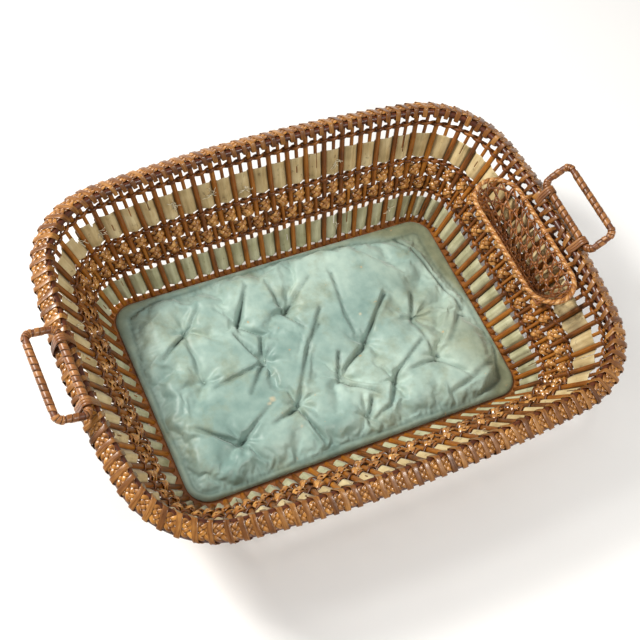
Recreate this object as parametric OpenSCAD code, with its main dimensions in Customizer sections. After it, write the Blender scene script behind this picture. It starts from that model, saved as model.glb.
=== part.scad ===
// Wicker bed basket: a flared oblong basket of upright reeds with two silk ribbons,
// plaited cane bands, a lashed rim, two hinged loop handles, a hanging side pocket
// and a loose tufted pad. Millimetres, +Z up, the origin is the middle of the
// underside and +X points along the basket to the end with the pocket.

/* [Basket] */
// Half of the length across the middle of the rim
rim_half_l = 290; // [280:1:300]
// Half of the width across the middle of the rim
rim_half_w = 215.5; // [208:0.5:223]
// Height of the middle of the rim above the underside
rim_z = 136.4; // [132:0.2:142]
// Corner radius along the middle of the rim
rim_corner_r = 97.6; // [85:0.2:105]
// How far the short sides of the rim bow outwards
end_bow = 8; // [5:0.5:10]
// How far the long sides of the rim bow outwards
side_bow = 10.4; // [7:0.1:13]
// Half of the length at the pad's edge, to the middle of the uprights
foot_half_l = 211.5; // [208:0.5:214]
// Half of the width at the pad's edge, to the middle of the uprights
foot_half_w = 134.8; // [132:0.2:137]
// Corner radius at the pad's edge
foot_corner_r = 30.5; // [28:0.5:33]
// Height of the pad's edge above the underside
foot_z = 15.5; // [15:0.5:17]

/* [Uprights] */
// Diameter of the thick uprights
thick_d = 6; // [5.4:0.1:6.2]
// Diameter of the thin uprights between them
thin_d = 4.4; // [3.6:0.1:4.8]
// Steps from one upright to the next along half of an end
end_steps = 10; // [10:1:10]
// Steps round a corner
corner_steps = 8; // [8:1:8]
// Steps along half of a long side
side_steps = 17; // [17:2:17]

/* [Woven bands] */
// Lower and upper edge of the lower ribbon, measured up the wall
lower_ribbon_h = [1, 31.2]; // [0:0.1:40]
// Middle of the lower twine
lower_twine_h = 38.6; // [37.5:0.1:39]
// Edges of the lower plait
lower_plait_h = [41.6, 58]; // [41:0.1:60]
// Edges of the upper plait
upper_plait_h = [59, 75.4]; // [58:0.1:77]
// Middle of the middle twine
middle_twine_h = 78.6; // [78:0.1:79]
// Edges of the upper ribbon
upper_ribbon_h = [82, 114]; // [81:0.1:116]
// Middle of the top twine
top_twine_h = 126.4; // [124:0.1:128]
// Thickness of a ribbon
ribbon_t = 0.8; // [0.5:0.1:1]
// Thickness of a plait
plait_t = 2.6; // [2:0.1:3]
// Thickness of a twine strand
twine_d = 2.4; // [2:0.1:2.6]

/* [Rim] */
// Diameter of the two rods on either side of the uprights
rim_rod_d = 8; // [7:0.2:8.4]
// Middle of the rods, measured up the wall
rim_rod_h = 142.7; // [141:0.1:143.5]
// Thickness of the plait on top of the rods
rim_plait_t = 3; // [2:0.2:3.4]
// Thickness of the cane strap
strap_t = 0.6; // [0.4:0.1:0.8]
// Width of the cane strap
strap_w = 6.6; // [5:0.2:8]
// Turns of the strap round the whole rim
strap_turns = 122; // [100:2:130]

/* [Handles] */
// Distance between the middles of the two arms
arm_spacing = 100; // [96:1:104]
// Distance from the middle of the bar on the rim to the middle of the grip
arm_l = 34.6; // [32:0.2:40]
// Diameter over the cane wrap of the grip and arms
grip_d = 9.5; // [9:0.1:10]
// Diameter over the cane wrap of the bar on the rim
bar_d = 10; // [9.6:0.1:10.4]
// Diameter of the rod inside
core_d = 7; // [6:0.2:7.4]
// Bend radius of the corners
bend_r = 8; // [7:0.5:10]
// Angle of the left handle above the horizontal
left_tilt = 14; // [-20:1:110]
// Angle of the right handle above the horizontal
right_tilt = 44; // [-20:1:110]
// Distance of each bar from the middle of the basket
bar_x = 290.5; // [290:0.1:291]
// Height of the bars above the underside
bar_z = 150; // [150:0.1:151]
// Length of one tie round the bar
tie_w = 8; // [6:0.5:9]
// Radial play of the bar in its ties
tie_play = 0.08; // [0.05:0.01:0.1]

/* [Pocket] */
// Middle of the pocket's rope rim along X
pocket_x = 241.5; // [240:0.5:242]
// Height of the rope rim above the underside
pocket_z = 127; // [126:0.5:129]
// Half of the rope rim's width
pocket_half_w = 30; // [28:0.5:30.5]
// Half of its straight length
pocket_straight = 57; // [50:1:60]
// Diameter of the rope rim
pocket_rope_d = 6; // [5:0.5:6.5]
// Thickness of the pocket's open cane work
pocket_t = 1.6; // [1:0.1:2]
// Height of the pocket's narrow floor above the underside
pocket_floor_z = 82; // [81:1:90]
// Half of the floor's width, and half of its straight length
pocket_floor_size = [3.8, 61]; // [3.6:0.1:62]
// Middle of the floor along X
pocket_floor_x = 241.4; // [239:0.1:241.6]

/* [Pad] */
// Half of the pad's length
pad_half_l = 205.2; // [195:0.2:205.4]
// Half of the pad's width
pad_half_w = 128.7; // [120:0.2:128.8]
// Width of the flat border
pad_border_w = 17; // [12:1:22]
// Thickness of the border
pad_border_t = 3; // [2:0.2:3.2]
// Height of the crown above the border's underside
pad_crown = 21; // [14:1:28]
// Thickness of the cloth
cloth_t = 0.8; // [0.5:0.1:1]

/* [Hidden] */

gap = 0.15;                 // play between strands that lie on each other
splice = 0.04;              // joint between two lengths of a rim rod
sliver = 0.01;              // thickness of a flat outline that a hull is drawn between
past = 1;                   // how far a cut reaches beyond the piece it is made in
flat_inset = 1;             // a band's flat over an upright ends this far inside its edge
wall_rise = rim_z - foot_z;
wall_run = rim_half_l - foot_half_l;
wall_h = norm([wall_run, wall_rise]);   // height of the wall along its slope
wall_tilt = atan2(wall_rise, wall_run);
quarter_steps = end_steps + corner_steps + side_steps;
upright_count = 4*quarter_steps;
evenness = 0.5;             // 0: uprights crowd at the corners' feet, 1: evenly spread
steps = [0, end_steps, end_steps + corner_steps, quarter_steps];

// Rim outline: eight tangent arcs, given by the radii and centres of three of them
end_arc_r = pow(rim_half_w - rim_corner_r, 2)/(2*end_bow);
side_arc_r = pow(rim_half_l - rim_corner_r, 2)/(2*side_bow);
end_arc_x = rim_half_l - end_arc_r;
side_arc_y = rim_half_w - side_arc_r;
// The corner's centre lies where circles round the other two centres cross
arcs_apart = norm([end_arc_x, side_arc_y]);
to_end = end_arc_r - rim_corner_r;
to_side = side_arc_r - rim_corner_r;
cross_u = (pow(to_end, 2) - pow(to_side, 2) + pow(arcs_apart, 2))/(2*arcs_apart);
cross_v = sqrt(pow(to_end, 2) - pow(cross_u, 2));
along_arcs = [-end_arc_x, side_arc_y]/arcs_apart;
corner_c = [end_arc_x, 0] + cross_u*along_arcs + cross_v*[-along_arcs[1], along_arcs[0]];
end_angle = asin(corner_c[1]/to_end);
side_angle = asin(corner_c[0]/to_side);

function arc_len(r, angle) = r*angle*PI/180;
rim_lengths = [arc_len(end_arc_r, end_angle),
    arc_len(rim_corner_r, 90 - end_angle - side_angle), arc_len(side_arc_r, side_angle)];
foot_lengths = [foot_half_w - foot_corner_r, arc_len(foot_corner_r, 90),
    foot_half_l - foot_corner_r];
function total(v, n) = n == 0 ? 0 : v[n - 1] + total(v, n - 1);
function section_of(k) = k < steps[1] ? 0 : k < steps[2] ? 1 : 2;
function by_section(lengths, k) = let (i = section_of(k))
    total(lengths, i) + lengths[i]*(k - steps[i])/(steps[i + 1] - steps[i]);
// Distance of step k from the middle of an end, along a quarter of an outline
function run_to(lengths, k) = (1 - evenness)*by_section(lengths, k)
    + evenness*total(lengths, 3)*k/quarter_steps;

function polar(r, angle) = r*[cos(angle), sin(angle)];
// Point and outward angle [x, y, angle] at distance s from the middle of the +X end
function foot_at(s) =
    s <= foot_lengths[0] ? [foot_half_l, s, 0]
    : s <= total(foot_lengths, 2)
    ? let (a = (s - foot_lengths[0])/foot_corner_r*180/PI,
           p = [foot_half_l - foot_corner_r, foot_half_w - foot_corner_r]
               + polar(foot_corner_r, a)) [p[0], p[1], a]
    : [total(foot_lengths, 3) - s, foot_half_w, 90];
function rim_at(s) =
    s <= rim_lengths[0]
    ? let (a = s/end_arc_r*180/PI, p = [end_arc_x, 0] + polar(end_arc_r, a)) [p[0], p[1], a]
    : s <= total(rim_lengths, 2)
    ? let (a = end_angle + (s - rim_lengths[0])/rim_corner_r*180/PI,
           p = corner_c + polar(rim_corner_r, a)) [p[0], p[1], a]
    : let (a = 90 - (total(rim_lengths, 3) - s)/side_arc_r*180/PI,
           p = [0, side_arc_y] + polar(side_arc_r, a)) [p[0], p[1], a];

// Mirrors a quarter's point into the quarter that step k of the whole outline is in
function quarter_of(k) = floor(k/quarter_steps);
function step_in(k) = let (q = quarter_of(k), j = k - q*quarter_steps)
    q % 2 == 0 ? j : quarter_steps - j;
function signs(k) = let (q = quarter_of(k)) [q == 1 || q == 2 ? -1 : 1, q >= 2 ? -1 : 1];
function turned(p, s) = [p[0]*s[0], p[1]*s[1], atan2(sin(p[2])*s[1], cos(p[2])*s[0])];
function foot(k) = turned(foot_at(run_to(foot_lengths, step_in(k))), signs(k));
function top(k) = turned(rim_at(run_to(rim_lengths, step_in(k))), signs(k));
feet = [for (k = [0:upright_count - 1]) foot(k)];
tops = [for (k = [0:upright_count - 1]) top(k)];

// Middle of upright k at height h up the wall
function on_wall(k, h) = let (f = feet[k], t = tops[k], u = h/wall_h)
    [f[0] + (t[0] - f[0])*u, f[1] + (t[1] - f[1])*u, foot_z + wall_rise*u];
function beside(k, h) = on_wall((k + upright_count) % upright_count, h);
function wall_along(k, h) = let (d = beside(k + 1, h) - beside(k - 1, h)) d/norm(d);
function wall_up(k) = let (d = on_wall(k, wall_h) - on_wall(k, 0)) d/norm(d);
function wall_out(k, h) = let (d = cross(wall_along(k, h), wall_up(k))) d/norm(d);
// Point beside upright k: along the row, out of the wall and up it
function wall_point(k, along, out, h) =
    on_wall(k, h) + along*wall_along(k, h) + out*wall_out(k, h);

function thick(k) = k % 2 == 0;
function upright_r(k) = (thick(k) ? thick_d : thin_d)/2;

// Closed loop of four-sided rings. Opposite faces are split along matching diagonals,
// so a band keeps its thickness where it twists.
module ring_sweep(rings) {
    n = len(rings);
    sides = len(rings[0]);
    points = [for (ring = rings) each ring];
    faces = [for (i = [0:n - 1], j = [0:sides - 1])
        let (here = i*sides, next = ((i + 1) % n)*sides, j2 = (j + 1) % sides,
             a = here + j, b = here + j2, c = next + j2, d = next + j)
        each (j < sides/2 ? [[a, b, c], [a, c, d]] : [[a, b, d], [b, c, d]])];
    polyhedron(points, faces);
}

// Band woven in and out: outside the thick uprights when over is 1, inside them when -1
module woven_band(h, t, over) {
    ring_sweep([for (k = [0:upright_count - 1], e = [-1, 1])
        let (out = (thick(k) ? over : -over)*(upright_r(k) + gap + t/2),
             half = upright_r(k) - flat_inset)
        [wall_point(k, e*half, out - t/2, h[0]), wall_point(k, e*half, out + t/2, h[0]),
         wall_point(k, e*half, out + t/2, h[1]), wall_point(k, e*half, out - t/2, h[1])]]);
}

// One strand of a twine: it runs along the inside (-1) or the outside (1) of the uprights
module twine_strand(h, face) {
    r = twine_d/2;
    out = face*(thick_d/2 + 2*gap + r);
    ring_sweep([for (k = [0:upright_count - 1])
        [wall_point(k, 0, out - r, h), wall_point(k, 0, out, h - r),
         wall_point(k, 0, out + r, h), wall_point(k, 0, out, h + r)]]);
}

module twine(h) {
    twine_strand(h, -1);
    twine_strand(h, 1);
}

module rod(a, b, d) {
    v = b - a;
    translate(a)
        rotate([0, acos(v[2]/norm(v)), atan2(v[1], v[0])])
        cylinder(d = d, h = norm(v), $fn = 32);
}

module uprights(first, d) {
    for (k = [first:2:upright_count - 1])
        rod(on_wall(k, -upright_foot), on_wall(k, rim_rod_h + rim_rod_d/2 - gap), d);
}

// Sweeps a section round the rim's outline; its X points out of the wall, its Y up the wall.
// Each stretch between two spliced ends is a piece of its own.
module rim_sweep() {
    for (sx = [0, 1]) mirror([sx, 0, 0]) {
        rim_arc([end_arc_x, 0], end_arc_r, -end_angle, end_angle, 240) children();
        for (sy = [0, 1]) mirror([0, sy, 0])
            rim_arc(corner_c, rim_corner_r, end_angle, 90 - side_angle, 96) children();
    }
    for (sy = [0, 1]) mirror([0, sy, 0])
        rim_arc([0, side_arc_y], side_arc_r, 90 - side_angle, 90 + side_angle, 480) children();
}

module rim_arc(centre, r, from, to, fn) {
    slit = splice/r*90/PI;
    translate([centre[0], centre[1], rim_z])
        rotate(from + slit)
        rotate_extrude(angle = to - from - 2*slit, $fn = fn)
        translate([r, 0])
        rotate(wall_tilt - 90)
        translate([0, -wall_h])
        children();
}

module rim_rod(face) {
    rim_sweep()
        translate([face*(thick_d/2 + gap + rim_rod_d/2), rim_rod_h])
        circle(d = rim_rod_d, $fn = 32);
}

rim_half_t = thick_d/2 + gap + rim_rod_d;      // from the wall's middle to a rod's far side
rim_top_h = rim_rod_h + rim_rod_d/2 + rim_plait_t;
crest_half = 7;                                 // half of the width of the plait on top
upright_foot = 11;                              // length of an upright below the pad's edge

// Point, and outward angle, at fraction f of the way round the rim
function rim_point(f) = let (s = f*4*total(rim_lengths, 3), q = total(rim_lengths, 3),
    i = floor(s/q), j = s - i*q)
    turned(rim_at(i % 2 == 0 ? j : q - j),
        [i == 1 || i == 2 ? -1 : 1, i >= 2 ? -1 : 1]);

// Strap folded over the rim: down its inner face, across the plait and down its outer face
module saddle(w, t) {
    translate([0, w/2, 0]) rotate([90, 0, 0]) linear_extrude(w) difference() {
        saddle_outline(t, rim_rod_h - rim_rod_d/4);
        saddle_outline(0, rim_rod_h - rim_rod_d);
    }
}

module saddle_outline(grow, from) {
    half = rim_half_t + gap + grow;
    shoulder = rim_rod_h + rim_rod_d/4 + grow/2 - wall_h;
    crest = rim_top_h + gap + grow - wall_h;
    low = from - wall_h;
    polygon([[-half, low], [half, low], [half, shoulder], [crest_half + grow, crest],
        [-crest_half - grow, crest], [-half, shoulder]]);
}

module on_rim(p) {
    translate([p[0], p[1], rim_z]) rotate([0, 90 - wall_tilt, p[2]]) children();
}

tie_y = arm_spacing/2 - bend_r - tie_w/2 - 1;
tie_wall = 1.2;
end_zone = 12;              // the rim's ends lie within this of its full half length
// The strap leaves the places of the handle ties free
function at_tie(p) = abs(p[0]) > rim_half_l - end_zone && abs(abs(p[1]) - tie_y) < tie_w;

function lift(a) = [cos(a), 0, sin(a)];

// Puts a handle that lies flat along +X from its bar onto the left or right end
module hung(side, tilt) {
    translate([side*bar_x, 0, bar_z])
        mirror([side < 0 ? 1 : 0, 0, 0])
        rotate([0, -tilt, 0])
        children();
}

module tube_y(x, half, od, id) {
    translate([x, half, 0]) rotate([90, 0, 0]) difference() {
        cylinder(d = od, h = 2*half, $fn = 48);
        translate([0, 0, -past]) cylinder(d = id, h = 2*half + 2*past, $fn = 48);
    }
}

straight_y = arm_spacing/2 - bend_r;
straight_x = arm_l - 2*bend_r;

module corner_bends(od, id) {
    for (x = [bend_r, arm_l - bend_r], s = [-1, 1])
        translate([x, s*straight_y, 0])
            mirror([x < arm_l/2 ? 1 : 0, s < 0 ? 1 : 0, 0])
            rotate_extrude(angle = 90, $fn = 48)
            translate([bend_r, 0])
            difference() {
                circle(d = od, $fn = 32);
                if (id > 0) circle(d = id, $fn = 32);
            }
}

module arms(od, id) {
    for (s = [-1, 1]) translate([bend_r, s*arm_spacing/2, 0]) rotate([0, 90, 0]) difference() {
        cylinder(d = od, h = straight_x, $fn = 48);
        if (id > 0)
            translate([0, 0, -past]) cylinder(d = id, h = straight_x + 2*past, $fn = 48);
    }
}

module handle_core() {
    for (x = [0, arm_l]) translate([x, straight_y, 0]) rotate([90, 0, 0])
        cylinder(d = core_d, h = 2*straight_y, $fn = 48);
    arms(core_d, 0);
    corner_bends(core_d, 0);
}

// Two ties that hold a bar down on the rim: a ring round the bar on a saddle round the rim
module handle_ties(side) {
    bore = bar_d + 2*tie_play;
    mirror([side < 0 ? 1 : 0, 0, 0]) for (s = [-1, 1]) difference() {
        union() {
            translate([bar_x, s*tie_y + tie_w/2, bar_z]) rotate([90, 0, 0])
                cylinder(d = bore + 2*tie_wall, h = tie_w, $fn = 48);
            translate([end_arc_x + sqrt(pow(end_arc_r, 2) - pow(tie_y, 2)), s*tie_y, rim_z])
                rotate([0, 90 - wall_tilt, 0]) saddle(tie_w, tie_wall);
        }
        translate([bar_x, s*tie_y + tie_w, bar_z]) rotate([90, 0, 0])
            cylinder(d = bore, h = 2*tie_w, $fn = 48);
    }
}

module stadium(half_w, straight) {
    hull() for (s = [-1, 1]) translate([0, s*straight]) circle(r = half_w, $fn = 48);
}

pocket_inset = 0.6;         // how far the cane work lies inside its rope and round its floor
module pocket_body(shrink, from) {
    hull() {
        translate([pocket_x, 0, pocket_z - pocket_rope_d/2 + (shrink > 0 ? past : 0)])
            linear_extrude(sliver)
            stadium(pocket_half_w - pocket_inset - shrink, pocket_straight);
        translate([pocket_floor_x, 0, from])
            linear_extrude(sliver)
            stadium(pocket_floor_size[0] - shrink, pocket_floor_size[1]);
    }
}

module rounded_plate(half_l, half_w, r, t) {
    linear_extrude(t) hull() for (sx = [-1, 1], sy = [-1, 1])
        translate([sx*(half_l - r), sy*(half_w - r)]) circle(r = r, $fn = 48);
}

module base_hoop() {
    color("saddlebrown") difference() {
        rounded_plate(hoop_half_l, hoop_half_w, hoop_r, hoop_t);
        translate([0, 0, -past])
            rounded_plate(hoop_half_l - hoop_w, hoop_half_w - hoop_w, hoop_r - hoop_w,
                hoop_t + 2*past);
    }
}
hoop_t = 11.8;
hoop_w = 11;
hoop_rim = 1.5;             // how far the hoop reaches beyond the feet of the uprights
hoop_half_l = foot_half_l + hoop_rim;
hoop_half_w = foot_half_w + hoop_rim;
hoop_r = foot_corner_r + hoop_rim;
lath_t = 2.6;
lath_w = 24;
lath_y = 70;
spoke_d = 4.4;
spoke_pitch = 20.6;
spokes_each_way = 9;
reed_d = 4;
reed_pitch = 11;
reed_count = 22;
spoke_z = lath_t + gap + spoke_d/2;
reed_z = spoke_z + spoke_d/2 + gap + reed_d/2;

// Flat laths under the floor, level with the underside of the hoop
module base_laths() {
    half = hoop_half_l - hoop_w;
    color("tan") for (i = [-1:1])
        translate([-half, i*lath_y - lath_w/2, 0]) cube([2*half, lath_w, lath_t]);
}

// Half of the length of a rod inside the hoop, whose far side lies at across
function reach(half, other_half, across) =
    let (r = hoop_r - hoop_w, into = across - (other_half - hoop_r))
    half - hoop_w - (into > 0 ? r - sqrt(max(0, pow(r, 2) - pow(into, 2))) : 0);

// Floor spokes cross the basket, with the reeds lying on them lengthwise
module floor_spokes() {
    color("peru") for (i = [-spokes_each_way:spokes_each_way])
        let (x = i*spoke_pitch,
             half = reach(hoop_half_w, hoop_half_l, abs(x) + spoke_d/2))
        translate([x, -half, spoke_z]) rotate([-90, 0, 0])
        cylinder(d = spoke_d, h = 2*half, $fn = 24);
}

module floor_reeds() {
    color("peru") for (i = [0:reed_count - 1])
        let (y = (i - (reed_count - 1)/2)*reed_pitch,
             half = reach(hoop_half_l, hoop_half_w, abs(y) + reed_d/2))
        translate([-half, y, reed_z]) rotate([0, 90, 0])
        cylinder(d = reed_d, h = 2*half, $fn = 24);
}

module thick_uprights() { color("darkgoldenrod") uprights(0, thick_d); }
module thin_uprights() { color("darkgoldenrod") uprights(1, thin_d); }
module lower_ribbon() { color("darkseagreen") woven_band(lower_ribbon_h, ribbon_t, 1); }
module upper_ribbon() { color("darkkhaki") woven_band(upper_ribbon_h, ribbon_t, 1); }
module lower_plait() { color("sienna") woven_band(lower_plait_h, plait_t, -1); }
module upper_plait() { color("sienna") woven_band(upper_plait_h, plait_t, 1); }
module lower_twine() { color("maroon") twine(lower_twine_h); }
module middle_twine() { color("maroon") twine(middle_twine_h); }
module top_twine() { color("maroon") twine(top_twine_h); }
module rim_rod_inner() { color("maroon") rim_rod(-1); }
module rim_rod_outer() { color("maroon") rim_rod(1); }

module rim_plait() {
    color("peru") rim_sweep()
        translate([-crest_half, rim_rod_h + rim_rod_d/2])
        square([2*crest_half, rim_plait_t]);
}

module rim_strap() {
    color("burlywood") for (i = [0:strap_turns - 1])
        let (p = rim_point((i + 0.5)/strap_turns))
        if (!at_tie(p)) on_rim(p) saddle(strap_w, strap_t);
}

module left_handle_ties() { color("peru") handle_ties(-1); }
module right_handle_ties() { color("peru") handle_ties(1); }

module pocket_rope() {
    color("burlywood") translate([pocket_x, 0, pocket_z]) for (s = [-1, 1]) {
        translate([s*pocket_half_w, pocket_straight, 0]) rotate([90, 0, 0])
            cylinder(d = pocket_rope_d, h = 2*pocket_straight, $fn = 32);
        translate([0, s*pocket_straight, 0]) rotate(s > 0 ? 0 : 180)
            rotate_extrude(angle = 180, $fn = 96)
            translate([pocket_half_w, 0]) circle(d = pocket_rope_d, $fn = 32);
    }
}

module pocket_wall() {
    color("sienna") difference() {
        pocket_body(0, pocket_floor_z);
        pocket_body(pocket_t, pocket_floor_z - past);
    }
}

module pocket_floor() {
    color("sienna") translate([pocket_floor_x, 0, pocket_floor_z])
        linear_extrude(pocket_t)
        stadium(pocket_floor_size[0] - pocket_t - pocket_inset, pocket_floor_size[1]);
}

// Cane loops that hang the pocket's rope on the thick uprights beside it
pocket_tie_w = 3;
pocket_tie_wall = 0.9;
pocket_tie_play = 0.4;

// Outline round the rope and an upright that lies run away from it
module loop_outline(run, grow) {
    hull() {
        circle(d = pocket_rope_d + grow, $fn = 32);
        translate([run, 0]) circle(d = thick_d + grow, $fn = 32);
    }
}

module pocket_ties() {
    color("burlywood") for (k = [-4, 0, 4]) {
        p = beside(k, (pocket_z - foot_z)/sin(wall_tilt));
        run = p[0] - pocket_x - pocket_half_w;
        translate([pocket_x + pocket_half_w, p[1] + pocket_tie_w/2, pocket_z])
            rotate([90, 0, 0])
            linear_extrude(pocket_tie_w)
            difference() {
                loop_outline(run, pocket_tie_play + 2*pocket_tie_wall);
                loop_outline(run, pocket_tie_play);
            }
    }
}

module left_core() { color("sienna") hung(-1, left_tilt) handle_core(); }
module right_core() { color("sienna") hung(1, right_tilt) handle_core(); }
module left_grip_wrap() {
    color("peru") hung(-1, left_tilt) tube_y(arm_l, straight_y, grip_d, core_d);
}
module right_grip_wrap() {
    color("peru") hung(1, right_tilt) tube_y(arm_l, straight_y, grip_d, core_d);
}
module left_bar_wrap() {
    color("peru") hung(-1, left_tilt) tube_y(0, straight_y, bar_d, core_d);
}
module right_bar_wrap() {
    color("peru") hung(1, right_tilt) tube_y(0, straight_y, bar_d, core_d);
}
module left_arm_wraps() { color("peru") hung(-1, left_tilt) arms(grip_d, core_d); }
module right_arm_wraps() { color("peru") hung(1, right_tilt) arms(grip_d, core_d); }
module left_corner_bindings() {
    color("sienna") hung(-1, left_tilt) corner_bends(bar_d, core_d);
}
module right_corner_bindings() {
    color("sienna") hung(1, right_tilt) corner_bends(bar_d, core_d);
}

pad_z = hoop_t + 0.6;
pad_inner_l = pad_half_l - pad_border_w;
pad_inner_w = pad_half_w - pad_border_w;
pad_corner_r = 26;
crown_corner_r = 14;
crown_top_r = 10;
border_play = 0.1;
pad_slope = 26;             // how far the crown's edge lies inside the border
tufts = [[-139, 69], [-78, 58], [-16, 59], [-67, 4], [-54, -60], [-131, -79], [53, -13],
    [8, -45], [61, -71], [125, 0], [12, -98], [-140, 3], [127, -58]];
tuft_d = 7;
tuft_t = 1.2;

module crown(shrink) {
    hull() {
        translate([0, 0, pad_z + cloth_t])
            rounded_plate(pad_inner_l - shrink, pad_inner_w - shrink, crown_corner_r, sliver);
        translate([0, 0, pad_z + pad_crown - sliver - shrink])
            rounded_plate(pad_inner_l - pad_slope - shrink, pad_inner_w - pad_slope - shrink,
                crown_top_r, sliver);
    }
}

module pad_cover() {
    color("powderblue") difference() {
        crown(0);
        crown(cloth_t);
        translate([0, 0, pad_z + cloth_t/2])
            rounded_plate(pad_inner_l - cloth_t, pad_inner_w - cloth_t, crown_corner_r, cloth_t);
    }
}
module pad_filling() { color("white") crown(cloth_t); }
module pad_backing() {
    color("tan") translate([0, 0, pad_z])
        rounded_plate(pad_inner_l, pad_inner_w, crown_corner_r, cloth_t);
}
module pad_border() {
    color("powderblue") translate([0, 0, pad_z]) difference() {
        rounded_plate(pad_half_l, pad_half_w, pad_corner_r, pad_border_t);
        translate([0, 0, -past])
            rounded_plate(pad_inner_l + border_play, pad_inner_w + border_play, crown_corner_r,
                pad_border_t + 2*past);
    }
}
module pad_tufts() {
    color("lightblue") for (t = tufts)
        translate([t[0], t[1], pad_z + pad_crown]) cylinder(d = tuft_d, h = tuft_t, $fn = 24);
}

base_hoop();
base_laths();
floor_spokes();
floor_reeds();
thick_uprights();
thin_uprights();
lower_ribbon();
lower_twine();
lower_plait();
upper_plait();
middle_twine();
upper_ribbon();
top_twine();
rim_rod_inner();
rim_rod_outer();
rim_plait();
rim_strap();
left_handle_ties();
right_handle_ties();
pocket_rope();
pocket_wall();
pocket_floor();
pocket_ties();
left_core();
left_grip_wrap();
left_bar_wrap();
left_arm_wraps();
left_corner_bindings();
right_core();
right_grip_wrap();
right_bar_wrap();
right_arm_wraps();
right_corner_bindings();
pad_cover();
pad_backing();
pad_filling();
pad_border();
pad_tufts();
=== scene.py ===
"""Looks of the wicker bed basket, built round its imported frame. Everything is in metres."""

import math

import bpy
import numpy as np
from mathutils import Matrix, Vector


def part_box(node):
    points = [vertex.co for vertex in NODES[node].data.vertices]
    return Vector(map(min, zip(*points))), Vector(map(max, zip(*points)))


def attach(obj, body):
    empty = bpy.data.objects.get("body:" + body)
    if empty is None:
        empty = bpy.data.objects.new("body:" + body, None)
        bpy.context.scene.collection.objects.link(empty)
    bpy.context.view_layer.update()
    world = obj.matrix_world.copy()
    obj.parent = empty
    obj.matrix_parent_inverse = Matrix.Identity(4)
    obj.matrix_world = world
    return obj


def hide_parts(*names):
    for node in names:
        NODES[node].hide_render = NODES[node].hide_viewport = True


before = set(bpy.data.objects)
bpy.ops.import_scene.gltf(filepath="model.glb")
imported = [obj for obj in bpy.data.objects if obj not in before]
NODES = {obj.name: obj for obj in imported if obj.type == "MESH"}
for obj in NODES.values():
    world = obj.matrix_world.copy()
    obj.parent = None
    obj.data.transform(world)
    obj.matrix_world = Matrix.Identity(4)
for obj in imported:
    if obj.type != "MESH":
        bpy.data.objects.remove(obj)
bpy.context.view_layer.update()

MM = 0.001
TAU = 2*math.pi
UP = np.array([0.0, 0.0, 1.0])
rng = np.random.default_rng(11)


# ---------------------------------------------------------------- small helpers

def unit(v):
    return v/np.linalg.norm(v, axis=-1, keepdims=True)


def smooth(x, low, high):
    t = np.clip((x - low)/(high - low), 0, 1)
    return t*t*(3 - 2*t)


def lerp(a, b, t):
    return a + (b - a)*t


def run_along(points):
    """Distance along a line at each of its points."""
    return np.concatenate([[0], np.cumsum(np.linalg.norm(np.diff(points, axis=0), axis=-1))])


def through(table, x):
    """A smooth closed curve through the rows of table, at row number x."""
    i = np.floor(x).astype(int)
    t = (x - i)[..., None]
    a, b, c, d = (table[(i + step) % len(table)] for step in (-1, 0, 1, 2))
    return 0.5*(2*b + (c - a)*t + (2*a - 5*b + 4*c - d)*t**2 + (3*b - a - 3*c + d)*t**3)


def circle(angles):
    return np.stack([np.cos(angles), np.sin(angles)], -1)


def wavy(length, waves, size, seed):
    """A smooth random function that repeats after length; its values stay near size."""
    random = np.random.default_rng(seed)
    turns = random.integers(1, waves + 1, 9)
    starts = random.uniform(0, TAU, 9)
    strengths = random.uniform(0.4, 1, 9)*size/2.2

    def value(x):
        x = np.asarray(x, float)[..., None]*TAU/length
        return (strengths*np.sin(x*turns + starts)).sum(-1)
    return value


def node_points(node):
    mesh = NODES[node].data
    points = np.empty(len(mesh.vertices)*3, np.float32)
    mesh.vertices.foreach_get("co", points)
    return points.reshape(-1, 3).astype(float)


def islands(node):
    """The points of each separate solid of a CAD node."""
    mesh = NODES[node].data
    points, owner = np.unique(np.round(node_points(node), 6), axis=0, return_inverse=True)
    owner = owner.ravel()
    edges = np.empty(len(mesh.edges)*2, np.int32)
    mesh.edges.foreach_get("vertices", edges)
    edges = owner[edges].reshape(-1, 2)
    group = np.arange(len(points))
    while True:
        low = np.minimum(group[edges[:, 0]], group[edges[:, 1]])
        merged = group.copy()
        np.minimum.at(merged, edges[:, 0], low)
        np.minimum.at(merged, edges[:, 1], low)
        merged = merged[merged]
        if (merged == group).all():
            return [points[group == g] for g in np.unique(group)]
        group = merged


def rod_ends(points):
    """The middles of a straight rod's lower and upper ends."""
    centre = points.mean(0)
    axis = np.linalg.svd(points - centre, full_matrices=False)[2][0]
    axis = axis*np.sign(axis[2])
    along = (points - centre) @ axis
    cap = 0.3*MM
    return points[along < along.min() + cap].mean(0), points[along > along.max() - cap].mean(0)


# ---------------------------------------------------------------- the wall of uprights

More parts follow.
